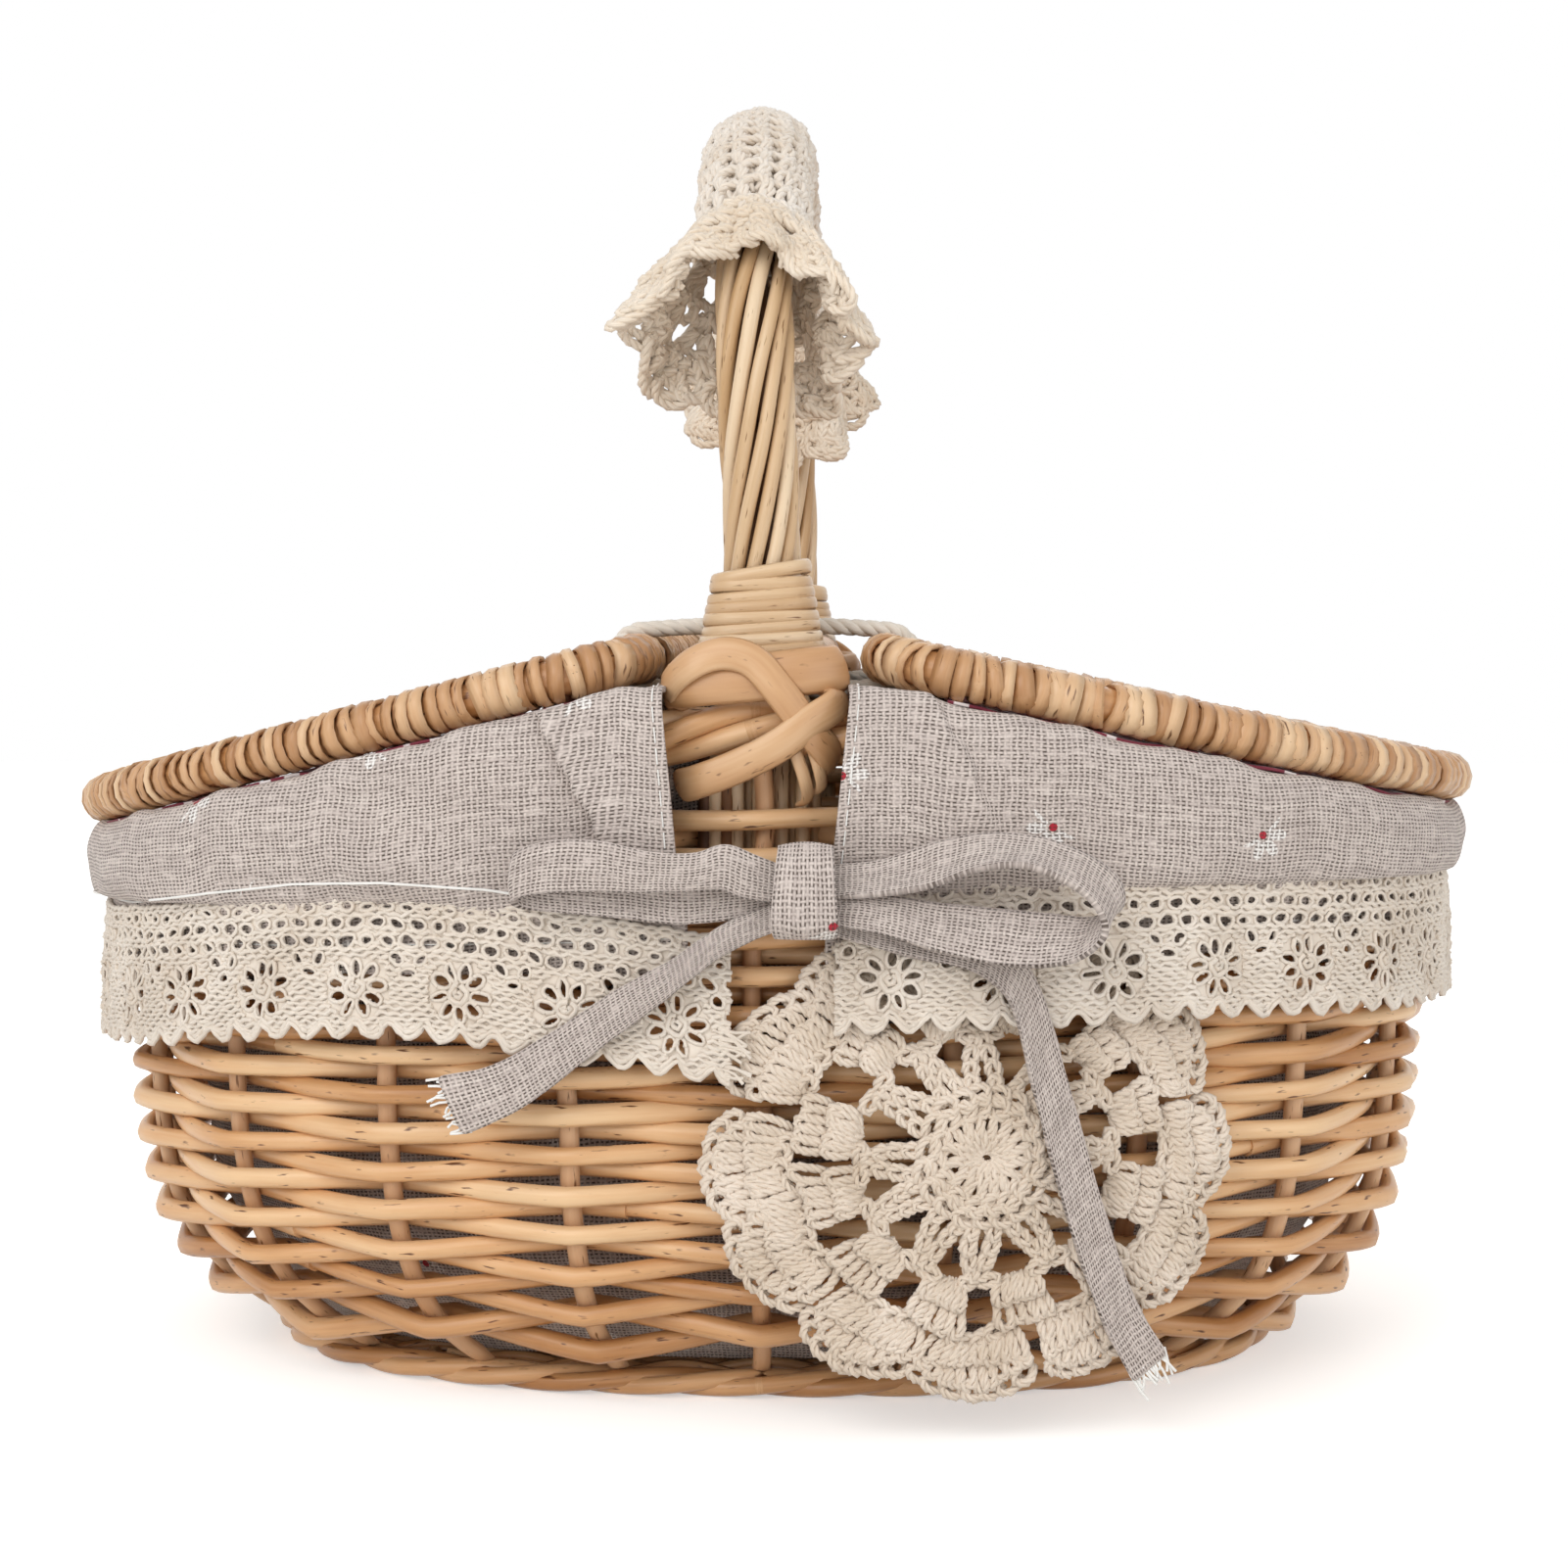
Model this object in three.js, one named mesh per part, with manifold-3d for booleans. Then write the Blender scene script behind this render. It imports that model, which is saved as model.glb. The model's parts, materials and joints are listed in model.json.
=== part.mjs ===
// Picnic hamper: a boat-shaped willow basket with two lids that swing up from a bridge under the handle,
// a linen liner folded over the rim, lace, a tied bow, a crochet rosette and a crochet grip cover.
// Millimetres, +Z up. The hamper stands on z = 0 with the middle of its foot at the origin, and its front,
// where the bow is tied, looks along -Y.
import * as THREE from "three";
import { mergeVertices } from "three/addons/utils/BufferGeometryUtils.js";
import Module from "manifold-3d";

const wasm = await Module();
wasm.setup();

// Driving dimensions of the basket
const baseHalfLength = 122; // wall centre line at the foot
const baseHalfDepth = 85;
const rimHalfLength = 157; // wall centre line under the border
const rimHalfDepth = 114;
const planPower = 2.5; // superellipse power of the plan: 2 is an oval, more is squarer
const wallSwell = 5.5; // how soon the wall swells out above the foot
const rimPeakHeight = 155; // border axis at mid length
const lidSlopeLeft = THREE.MathUtils.degToRad(14.4); // the rim and the lids fall away from the bridge,
const lidSlopeRight = THREE.MathUtils.degToRad(12); // on this handmade one a little less to the right
const rimPeakRound = 20; // rounding of the rim's peak
const footHeight = 6.5;
const footWidth = 10;
const borderRadius = 6.5;
const seatGap = 0.3; // gap between pieces that rest on each other

// Willow
const stakeCount = 21; // odd, so that one spiral weaver changes sides at every turn
const stakeDiameter = 4.4;
const weaverDiameter = 4.4;
const weaverSides = 5;
const weaverLengths = 3; // rods joined end to end up the wall
const rowGap = 0.7;
const weaveClearance = 0.35; // weaver to stake
const baseMatThickness = 4.5;
const baseMatLift = 1.8; // the mat hangs clear of the floor inside the foot
const baseStickCount = 7;
const baseStickDiameter = 3;

// Handle
const handleRadius = 9;
const handleRodCount = 8;
const handleRodGroove = 1.5;
const handleTwistPitch = 145; // length of one turn of the rods
const handleTop = 297.5; // arch axis
const handleSpring = 222; // where the legs turn into the arch
const handleFoot = 118; // lower end of the legs, inside the wall
const collarHeight = 20;
const collarTurns = 7;
const collarTopWall = 2.2;
const collarFootWall = 4.4;

// Bridge, lids and their hinge cords
const bridgeWidth = 30;
const bridgeThickness = 10.4;
const hingeReach = 28; // hinge axis from mid length
const hoopRadius = 5.75;
const lidHalfLength = 168; // hoop axis at the far end
const lidHalfDepth = 118;
const lidCornerRadius = 16;
const lidPanelThickness = 6;
const lidRowPitch = 6.5;
const lidRowGroove = 1.1;
const liningThickness = 1;
const liningPeek = 3; // lining past the hoop's axis, under the hoop
const cordDiameter = 7;
const cordTurns = 2;
const cordFromCollar = 2.2; // winding to collar
const cordStep = 0.6; // gap between turns

// Liner, lace and trimmings
const clothThickness = 1.3;
const borderEase = 1.1; // cloth over the border
const slitHalfWidth = 17; // the liner is open at the handle
const bagNotchHalfWidth = 13;
const bagNotchBelowLeg = 2;
const flapDrop = 43; // from the border axis to the hem, at mid length
const hemLean = THREE.MathUtils.degToRad(1.5); // the hem rises to the right
const hemReach = 9.4; // cloth outside the wall centre line at the hem
const puffReach = 15;
const foldHeight = 2.6; // main fold beside the slit
const foldFromSlit = 22;
const foldWidth = 9;
const laceHeight = 36;
const laceOverlap = 3;
const laceThickness = 1.2;
const scallopPitch = 24;
const scallopDepth = 4;
const ribbonWidth = 11;
const ribbonThickness = 1.2;
const bowAboveHem = 6; // knot centre
const bowKnotWidth = 13;
const bowKnotHeight = 20;
const bowLoopLength = 66;
const bowLoopHeight = 24;
const bowKnotX = 8;
const leftTailReach = 78;
const leftTailDrop = 52;
const rightTailReach = 74;
const rightTailDrop = 102;
const rosetteHalfWidth = 56;
const rosetteHalfHeight = 51;
const rosettePetals = 9;
const rosetteThickness = 1.1;
const rosetteEase = 1.1; // clear of the weavers, behind the lace
const rosetteX = 46;
const rosetteBelowHem = 2;
const gripHalfLength = 74; // sleeve from the arch's top to where its frill starts
const gripOuterRadius = 14;
const gripEase = 0.9;
const frillLength = 40;
const frillFlare = 14;
const frillRipple = 2.4;
const frillRipples = 5;
const frillThickness = 3;

// Colours
const willow = { color: 0xd9ad72, roughness: 0.55 };
const willowPale = { color: 0xe2bf8a, roughness: 0.5 };
const linen = { color: 0xc9bdb2, roughness: 0.95 };
const cotton = { color: 0xeee3cd, roughness: 0.95 };
const printed = { color: 0x8a4450, roughness: 0.95 };

const hamper = new THREE.Group();
const V = (x, y, z) => new THREE.Vector3(x, y, z);
const signedPower = (value, power) => Math.sign(value) * Math.abs(value) ** power;
const smooth = (value) => {
  const t = THREE.MathUtils.clamp(value, 0, 1);
  return t * t * (3 - 2 * t);
};

// Solid helpers

function toManifold(geometry) {
  const bare = new THREE.BufferGeometry();
  bare.setAttribute("position", geometry.getAttribute("position"));
  if (geometry.index) bare.setIndex(geometry.index);
  const merged = mergeVertices(bare, 1e-4);
  return new wasm.Manifold(
    new wasm.Mesh({
      numProp: 3,
      vertProperties: new Float32Array(merged.attributes.position.array),
      triVerts: new Uint32Array(merged.index.array),
    }),
  );
}

function toGeometry(solid) {
  const mesh = solid.getMesh();
  const geometry = new THREE.BufferGeometry();
  geometry.setAttribute("position", new THREE.BufferAttribute(mesh.vertProperties, 3));
  geometry.setIndex(new THREE.BufferAttribute(mesh.triVerts, 1));
  return geometry;
}

function addPiece(parent, name, geometry, finish) {
  const material = new THREE.MeshStandardMaterial({ ...finish, metalness: 0 });
  const mesh = new THREE.Mesh(geometry, material);
  mesh.name = name;
  parent.add(mesh);
  return mesh;
}

// Skins a row of rings, each a closed loop of as many points. Without closed, both end rings get caps.
function loft(rings, closed = false) {
  const count = rings[0].length;
  const positions = rings.flat().flatMap((p) => [p.x, p.y, p.z]);
  const index = [];
  const spans = closed ? rings.length : rings.length - 1;
  for (let i = 0; i < spans; i++) {
    const here = i * count;
    const next = ((i + 1) % rings.length) * count;
    for (let j = 0; j < count; j++) {
      const k = (j + 1) % count;
      index.push(here + j, here + k, next + k, here + j, next + k, next + j);
    }
  }
  if (!closed) {
    addCap(rings[0], 0, true, index);
    addCap(rings.at(-1), (rings.length - 1) * count, false, index);
  }
  if (signedVolume(positions, index) < 0) index.reverse();
  const geometry = new THREE.BufferGeometry();
  geometry.setAttribute("position", new THREE.Float32BufferAttribute(positions, 3));
  geometry.setIndex(index);
  return geometry;
}

// Triangulates an end ring in its own plane, so that a bent outline caps as well as a round one.
function addCap(ring, first, turned, index) {
  const normal = V(0, 0, 0);
  ring.forEach((p, i) => normal.add(p.clone().cross(ring[(i + 1) % ring.length])));
  normal.normalize();
  const across = ring[1].clone().sub(ring[0]).projectOnPlane(normal).normalize();
  const along = normal.clone().cross(across);
  const flat = ring.map((p) => new THREE.Vector2(p.dot(across), p.dot(along)));
  for (const [a, b, c] of THREE.ShapeUtils.triangulateShape(flat, [])) {
    if (turned) index.push(first + c, first + b, first + a);
    else index.push(first + a, first + b, first + c);
  }
}

function signedVolume(positions, index) {
  let sum = 0;
  const at = (i) => V(positions[3 * i], positions[3 * i + 1], positions[3 * i + 2]);
  for (let i = 0; i < index.length; i += 3) {
    sum += at(index[i]).dot(at(index[i + 1]).cross(at(index[i + 2])));
  }
  return sum;
}

function circleRing(centre, across, up, radius, sides, turn = 0) {
  return Array.from({ length: sides }, (_, i) => {
    const angle = turn + (2 * Math.PI * i) / sides;
    const offset = across.clone().multiplyScalar(radius * Math.cos(angle));
    return centre.clone().add(offset).addScaledVector(up, radius * Math.sin(angle));
  });
}

// A round rod along points. Ring planes halve the turn at each point, and up keeps the rings from twisting.
function rod(points, radius, sides, up, closed = false) {
  const rings = points.map((p, i) => {
    const last = points.length - 1;
    const before = closed ? points.at(i - 1) : points[Math.max(i - 1, 0)];
    const after = closed ? points[(i + 1) % points.length] : points[Math.min(i + 1, last)];
    const along = after.clone().sub(before).normalize();
    const across = along.clone().cross(up).normalize();
    return circleRing(p, across, across.clone().cross(along), radius, sides);
  });
  return loft(rings, closed);
}

function extrudeUp(shape, low, high) {
  const settings = { depth: high - low, bevelEnabled: false, curveSegments: 6 };
  const geometry = new THREE.ExtrudeGeometry(shape, settings);
  geometry.translate(0, 0, low);
  return geometry;
}

// The basket's form: share runs from 0 at the foot to 1 under the border, angle runs round the plan

function planPoint(angle, halfLength, halfDepth) {
  const x = halfLength * signedPower(Math.cos(angle), 2 / planPower);
  const y = halfDepth * signedPower(Math.sin(angle), 2 / planPower);
  return new THREE.Vector2(x, y);
}

const slopeAt = (x) => (x < 0 ? lidSlopeLeft : lidSlopeRight);
const borderAxisHeight = (x) =>
  rimPeakHeight - Math.tan(slopeAt(x)) * (Math.hypot(x, rimPeakRound) - rimPeakRound);

const wallFoot = footHeight + seatGap;
const wallTop = (x) => borderAxisHeight(x) - borderRadius - seatGap;
const lowestWallTop = Math.min(wallTop(-rimHalfLength), wallTop(rimHalfLength));

function wallPoint(angle, share) {
  const swell = 1 - Math.max(0, 1 - share) ** wallSwell;
  const plan = planPoint(
    angle,
    THREE.MathUtils.lerp(baseHalfLength, rimHalfLength, swell),
    THREE.MathUtils.lerp(baseHalfDepth, rimHalfDepth, swell),
  );
  // rows are level at the foot and fan out towards the peak of the rim
  const level = wallFoot + share * (lowestWallTop - wallFoot);
  const rise = wallTop(planPoint(angle, rimHalfLength, rimHalfDepth).x) - lowestWallTop;
  return V(plan.x, plan.y, level + rise * share * share);
}

const probe = 1e-3;
function wallUp(angle, share) {
  return wallPoint(angle, share + probe).sub(wallPoint(angle, share - probe)).normalize();
}
function wallNormal(angle, share) {
  const along = wallPoint(angle + probe, share).sub(wallPoint(angle - probe, share));
  return along.cross(wallUp(angle, share)).normalize();
}
const offWall = (angle, share, reach) =>
  wallPoint(angle, share).addScaledVector(wallNormal(angle, share), reach);

// Angles that divide the rim's plan into equal lengths, starting from the front middle
function evenAngles(count, from = -Math.PI / 2, to = 1.5 * Math.PI) {
  const fine = 1440;
  const lengths = [0];
  for (let i = 1; i <= fine; i++) {
    const a = planPoint(from + ((to - from) * (i - 1)) / fine, rimHalfLength, rimHalfDepth);
    const b = planPoint(from + ((to - from) * i) / fine, rimHalfLength, rimHalfDepth);
    lengths.push(lengths[i - 1] + a.distanceTo(b));
  }
  return Array.from({ length: count }, (_, k) => {
    const wanted = (lengths.at(-1) * k) / count;
    const i = Math.max(1, lengths.findIndex((length) => length >= wanted));
    const part = (wanted - lengths[i - 1]) / (lengths[i] - lengths[i - 1]);
    return from + ((to - from) * (i - 1 + part)) / fine;
  });
}

// Base: a foot of waled willow that the hamper stands on, with a mat of sticks and weave inside it

function addBase() {
  const half = footWidth / 2;
  const bevel = 2;
  const section = [
    [-half, 0],
    [half - bevel, 0],
    [half, bevel],
    [half, footHeight - bevel],
    [half - bevel, footHeight],
    [-half, footHeight],
  ];
  const footRings = evenAngles(40).map((angle) => {
    const centre = planPoint(angle, baseHalfLength, baseHalfDepth);
    const out = wallNormal(angle, 0).setZ(0).normalize();
    return section.map(([reach, z]) => V(centre.x + out.x * reach, centre.y + out.y * reach, z));
  });
  addPiece(hamper, "foot_wale", loft(footRings, true), willow);

  const matInset = half + seatGap;
  const outline = evenAngles(40).map((angle) => {
    const centre = planPoint(angle, baseHalfLength, baseHalfDepth);
    const out = wallNormal(angle, 0).setZ(0).normalize();
    return new THREE.Vector2(centre.x - out.x * matInset, centre.y - out.y * matInset);
  });
  const matTop = baseMatLift + baseMatThickness;
  let mat = toManifold(extrudeUp(new THREE.Shape(outline), baseMatLift, matTop));
  const stickReach = 2 * baseHalfDepth;
  for (let i = 0; i < baseStickCount; i++) {
    // the cross sticks stand out of the mat's underside by half their thickness
    const x = ((i + 0.5) / baseStickCount - 0.5) * 2 * (baseHalfLength - 4 * baseStickDiameter);
    const span = [V(x, -stickReach, baseMatLift), V(x, stickReach, baseMatLift)];
    const stick = toManifold(rod(span, baseStickDiameter / 2, 8, V(0, 0, 1)));
    const trim = toManifold(extrudeUp(new THREE.Shape(outline), 0, matTop));
    mat = mat.add(stick.intersect(trim));
  }
  addPiece(hamper, "base_mat", toGeometry(mat), willow);
}

// Wall: stakes up from the foot, and weavers that pass in front of one stake and behind the next

const stakeAngles = evenAngles(stakeCount);
const rowPitch = weaverDiameter + rowGap;
const rowsHeight = lowestWallTop - wallFoot;
const firstRow = 1.5 * weaverDiameter; // the lowest weavers lean out over the foot
const lastRow = weaverDiameter / 2;
const rowCount = Math.floor((rowsHeight - firstRow - lastRow) / rowPitch);

function addStakes() {
  const steps = 6; // closer together where the stake bends up from the foot
  stakeAngles.forEach((angle, i) => {
    const rings = Array.from({ length: steps + 1 }, (_, k) => {
      const share = (k / steps) ** 1.6;
      const up = wallUp(angle, share);
      const out = wallNormal(angle, share);
      return circleRing(wallPoint(angle, share), out.clone().cross(up), out, stakeDiameter / 2, 5);
    });
    for (const p of rings[0]) p.z = wallFoot; // cut level where it stands on the foot
    const name = `stake_${String(i + 1).padStart(2, "0")}`;
    addPiece(hamper, name, loft(rings), willowPale);
  });
}

// How far a weaver's axis lies off a stake, so that its straight runs to both neighbours clear the stake
function weaverReach(k, share) {
  const at = (i) => wallPoint(stakeAngles[((i % stakeCount) + stakeCount) % stakeCount], share);
  const before = at(k).sub(at(k - 1));
  const after = at(k + 1).sub(at(k));
  const halfTurn = before.angleTo(after) / 2;
  const clear = (stakeDiameter + weaverDiameter) / 2 + weaveClearance;
  const sway = Math.atan2(2 * clear, Math.min(before.length(), after.length()));
  return { reach: clear / Math.cos(halfTurn + sway), mitre: 1 / Math.cos(halfTurn + sway) };
}

function weaverRing(k) {
  const angle = stakeAngles[k % stakeCount];
  const turns = k / stakeCount / (rowCount + 1 / stakeCount);
  const share = THREE.MathUtils.lerp(firstRow, rowsHeight - lastRow, turns) / rowsHeight;
  const { reach, mitre } = weaverReach(k % stakeCount, share);
  const side = k % 2 === 0 ? -1 : 1;
  const centre = offWall(angle, share, side * reach);
  const across = wallNormal(angle, share).multiplyScalar(mitre);
  const up = wallUp(angle, share);
  return circleRing(centre, across, up, weaverDiameter / 2, weaverSides, Math.PI / weaverSides);
}

const mixRings = (a, b, part) => a.map((p, i) => p.clone().lerp(b[i], part));

function addWeavers() {
  const total = rowCount * stakeCount;
  const joint = 0.01; // half the gap where two rods meet, as a share of the run between stakes
  for (let length = 0; length < weaverLengths; length++) {
    const first = Math.round((total * length) / weaverLengths);
    const last = Math.round((total * (length + 1)) / weaverLengths);
    const rings = [mixRings(weaverRing(first), weaverRing(first + 1), 0.5 + joint)];
    for (let k = first + 1; k <= last; k++) rings.push(weaverRing(k));
    rings.push(mixRings(weaverRing(last), weaverRing(last + 1), 0.5 - joint));
    addPiece(hamper, `side_weaver_${length + 1}`, loft(rings), willow);
  }
}

// Border rolled over the stake tops, in two planes that fall away from the handle

function rimAxis(angle, reach = 0) {
  const plan = planPoint(angle, rimHalfLength, rimHalfDepth);
  const out = wallNormal(angle, 0.95).setZ(0).normalize();
  return V(plan.x + out.x * reach, plan.y + out.y * reach, borderAxisHeight(plan.x));
}

function addBorder() {
  const points = evenAngles(44).map((angle) => rimAxis(angle));
  addPiece(hamper, "rim_border", rod(points, borderRadius, 7, V(0, 0, 1), true), willow);
}

// Handle: a bundle of rods twisted round each other, its legs pushed down inside the border

const legReach = rimHalfDepth - borderRadius - handleRadius - seatGap - 1;

// Point and direction of the arch, by length from its top; positive runs down the back leg
const archQuarter = archLength(Math.PI / 2);
function archPoint(angle) {
  return V(0, legReach * Math.sin(angle), handleSpring + (handleTop - handleSpring) * Math.cos(angle));
}
function archLength(angle) {
  const steps = 90;
  let sum = 0;
  for (let i = 1; i <= steps; i++) {
    sum += archPoint((angle * i) / steps).distanceTo(archPoint((angle * (i - 1)) / steps));
  }
  return sum;
}
function handleAxis(length) {
  const side = Math.sign(length);
  const far = Math.abs(length);
  if (far >= archQuarter) return V(0, side * legReach, handleSpring - (far - archQuarter));
  let low = 0;
  let high = Math.PI / 2;
  while (high - low > 1e-4) {
    const middle = (low + high) / 2;
    if (archLength(middle) < far) low = middle;
    else high = middle;
  }
  return archPoint(side * low);
}
function handleFrame(length) {
  const along = handleAxis(length + 0.5).sub(handleAxis(length - 0.5)).normalize();
  const out = V(1, 0, 0).cross(along).normalize(); // away from the middle of the arch
  return { centre: handleAxis(length), along, across: V(1, 0, 0), out };
}
const handleHalfLength = archQuarter + handleSpring - handleFoot;

function addHandle() {
  const ringCount = 40;
  const rings = Array.from({ length: ringCount + 1 }, (_, i) => {
    const length = handleHalfLength * ((2 * i) / ringCount - 1);
    const { centre, across, out } = handleFrame(length);
    const twist = (-2 * Math.PI * length) / handleTwistPitch;
    return Array.from({ length: 2 * handleRodCount }, (_, j) => {
      const angle = twist + (Math.PI * j) / handleRodCount;
      const radius = j % 2 === 0 ? handleRadius : handleRadius - handleRodGroove;
      return centre
        .clone()
        .addScaledVector(across, radius * Math.cos(angle))
        .addScaledVector(out, radius * Math.sin(angle));
    });
  });
  addPiece(hamper, "handle_rods", loft(rings), willowPale);
}

// Collar of flat skein wound round each leg, from just above the border
const collarFoot = rimPeakHeight + borderRadius + 9;

function addCollars() {
  const inner = handleRadius + seatGap;
  const groove = 0.6;
  const profile = [new THREE.Vector2(inner, 0)];
  for (let turn = 0; turn < collarTurns; turn++) {
    for (const [part, depth] of [[0.1, groove], [0.5, 0]]) {
      const share = (turn + part) / collarTurns;
      const wall = THREE.MathUtils.lerp(collarFootWall, collarTopWall, share);
      profile.push(new THREE.Vector2(inner + wall - depth, share * collarHeight));
    }
  }
  profile.push(new THREE.Vector2(inner, collarHeight), new THREE.Vector2(inner, 0));
  for (const [name, side] of [["handle_collar_front", -1], ["handle_collar_back", 1]]) {
    const collar = new THREE.LatheGeometry(profile, 12);
    collar.rotateX(Math.PI / 2);
    addPiece(hamper, name, collar, willowPale).position.set(0, side * legReach, collarFoot);
  }
}

// Lashing: split willow bands that cross over the border and bind it to the leg

function addLashings() {
  const bandWidth = 8.5;
  const bandThickness = 2.4;
  const spread = slitHalfWidth;
  const reach = borderRadius + seatGap + bandThickness / 2;
  const collarFace = rimHalfDepth - legReach - handleRadius - seatGap - collarFootWall;
  const leanBack = seatGap + bandThickness / 2 - collarFace;
  // the bands lie on the border's outside and lean back to the collar above it
  const surface = (x, z) => {
    const above = z - rimPeakHeight;
    let back = reach;
    if (above > 0) back = Math.sqrt(Math.max(0, reach * reach - above * above));
    if (above > reach) back = Math.max(leanBack, reach - above);
    return V(x, -rimHalfDepth - back - 1.5 * (1 - (x / spread) ** 2), z);
  };
  const strokes = [
    [rimPeakHeight + 11, rimPeakHeight + 13],
    [rimPeakHeight + 11, rimPeakHeight - 6],
    [rimPeakHeight - 20, rimPeakHeight - 6],
  ];
  const steps = 5;
  const bands = strokes.map(([left, right]) => {
    const rings = Array.from({ length: steps + 1 }, (_, i) => {
      const x = spread * ((2 * i) / steps - 1);
      const middle = THREE.MathUtils.lerp(left, right, i / steps);
      const face = [-0.5, -0.17, 0.17, 0.5].map((part) => surface(x, middle + part * bandWidth));
      const outwards = (k) => {
        const up = face[Math.min(k + 1, 3)].clone().sub(face[Math.max(k - 1, 0)]).normalize();
        return V(1, 0, 0).cross(up).normalize().multiplyScalar(bandThickness / 2);
      };
      const outer = face.map((p, k) => p.clone().sub(outwards(k)));
      const inner = face.map((p, k) => p.clone().add(outwards(k)));
      return [...outer, ...inner.reverse()];
    });
    return toManifold(loft(rings));
  });
  const front = toGeometry(bands[0].add(bands[1]).add(bands[2]));
  addPiece(hamper, "lashing_front", front, willow);
  addPiece(hamper, "lashing_back", front.clone().rotateZ(Math.PI), willow);
}

// Lids, each a bent hoop filled with weave and lined with cloth, turning on the hoop's straight side

const lidLift = borderRadius + borderEase + clothThickness + liningThickness + 2 * seatGap + hoopRadius;
const hingeHeightFor = (slope) =>
  rimPeakHeight + Math.tan(slope) * (rimPeakRound - hingeReach) + lidLift / Math.cos(slope);
const hingeHeight = Math.max(hingeHeightFor(lidSlopeLeft), hingeHeightFor(lidSlopeRight));

// Outline of the hoop's axis in the lid's own plane: x out from the hinge axis, y along it
function lidOutline(slope) {
  const points = [];
  const edge = (x) => {
    const share = (hingeReach + x * Math.cos(slope)) / lidHalfLength;
    return lidHalfDepth * (1 - Math.min(1, share) ** planPower) ** (1 / planPower);
  };
  const cornerSteps = 4;
  const sideY = edge(lidCornerRadius);
  for (let i = 0; i <= cornerSteps; i++) {
    const turn = (Math.PI / 2) * (i / cornerSteps);
    const x = lidCornerRadius * (1 - Math.cos(turn));
    points.push(new THREE.Vector2(x, -sideY + lidCornerRadius * (1 - Math.sin(turn))));
  }
  const from = Math.asin(-((sideY / lidHalfDepth) ** (planPower / 2)));
  const arcSteps = 16;
  for (let i = 1; i < arcSteps; i++) {
    const plan = planPoint(from * (1 - (2 * i) / arcSteps), lidHalfLength, lidHalfDepth);
    points.push(new THREE.Vector2((plan.x - hingeReach) / Math.cos(slope), plan.y));
  }
  const mirrored = points.slice(0, cornerSteps + 1).reverse();
  points.push(...mirrored.map((p) => new THREE.Vector2(p.x, -p.y)));
  return points;
}

// Moves an outline inwards
function inset(outline, distance) {
  return outline.map((p, i) => {
    const before = outline.at(i - 1);
    const after = outline[(i + 1) % outline.length];
    const along = after.clone().sub(before).normalize();
    return new THREE.Vector2(p.x - along.y * distance, p.y + along.x * distance);
  });
}

const windingRadius = hoopRadius + 2 * seatGap + cordDiameter / 2; // cord axis round the hoop
const windingWidth = cordTurns * cordDiameter + (cordTurns - 1) * cordStep;
const collarReach = legReach - handleRadius - seatGap - collarFootWall; // the collars' inner faces
const cordReach = collarReach - cordFromCollar - windingWidth / 2; // middle of each winding

function addLid(name, side) {
  const lid = new THREE.Group();
  lid.position.set(side * hingeReach, 0, hingeHeight);
  const slope = slopeAt(side);
  lid.rotation.set(0, slope, side > 0 ? 0 : Math.PI, "ZYX");
  hamper.add(lid);
  const outline = lidOutline(slope);
  const hoopPoints = outline.map((p) => V(p.x, p.y, 0));
  addPiece(lid, `${name}_hoop`, rod(hoopPoints, hoopRadius, 8, V(0, 0, 1), true), willowPale);

  // gaps in the panel and the lining where the hinge cords pass round the hoop
  const cordRoom = windingRadius + cordDiameter / 2 + 1;
  const roomHalf = windingWidth / 2 + 1.5;
  const cutters = [-1, 1].map((end) => {
    const span = [V(0, end * cordReach - roomHalf, 0), V(0, end * cordReach + roomHalf, 0)];
    return toManifold(rod(span, cordRoom, 20, V(0, 0, 1)));
  });
  const cut = (solid) => solid.subtract(cutters[0]).subtract(cutters[1]);

  const half = lidPanelThickness / 2;
  const farX = Math.max(...outline.map((p) => p.x));
  const rows = Math.floor(farX / lidRowPitch);
  const ridge = [];
  for (let i = 0; i < rows; i++) {
    ridge.push([i * lidRowPitch, half - lidRowGroove], [(i + 0.5) * lidRowPitch, half]);
  }
  ridge.push([rows * lidRowPitch, half - lidRowGroove]);
  const under = ridge.map(([x, z]) => [x, -z]).reverse();
  const widest = lidHalfDepth + hoopRadius;
  const ends = [-widest, widest].map((y) => [...ridge, ...under].map(([x, z]) => V(x, y, z)));
  const panelOutline = new THREE.Shape(inset(outline, hoopRadius + seatGap));
  const panel = toManifold(loft(ends)).intersect(toManifold(extrudeUp(panelOutline, -half, half)));
  addPiece(lid, `${name}_weave`, toGeometry(cut(panel)), willow);

  const liningTop = -hoopRadius - seatGap;
  const liningOutline = new THREE.Shape(inset(outline, -liningPeek));
  const lining = toManifold(extrudeUp(liningOutline, liningTop - liningThickness, liningTop));
  addPiece(lid, `${name}_lining`, toGeometry(cut(lining)), printed);
}

// Bridge between the legs, and the cotton cords wound round it and both hoops

function addBridge() {
  const halfSpan = collarReach - seatGap;
  const section = (y) =>
    Array.from({ length: 16 }, (_, i) => {
      const angle = (2 * Math.PI * i) / 16;
      const x = (bridgeWidth / 2) * signedPower(Math.cos(angle), 0.75);
      return V(x, y, hingeHeight + (bridgeThickness / 2) * signedPower(Math.sin(angle), 0.75));
    });
  addPiece(hamper, "bridge_bar", loft([section(-halfSpan), section(halfSpan)]), willow);
}

// Least distance between points of a route that lie at least so many steps apart on it
function leastDistance(points, steps) {
  let least = Infinity;
  points.forEach((p, i) => {
    for (const q of points.slice(i + Math.ceil(steps))) least = Math.min(least, p.distanceTo(q));
  });
  return least;
}

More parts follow.
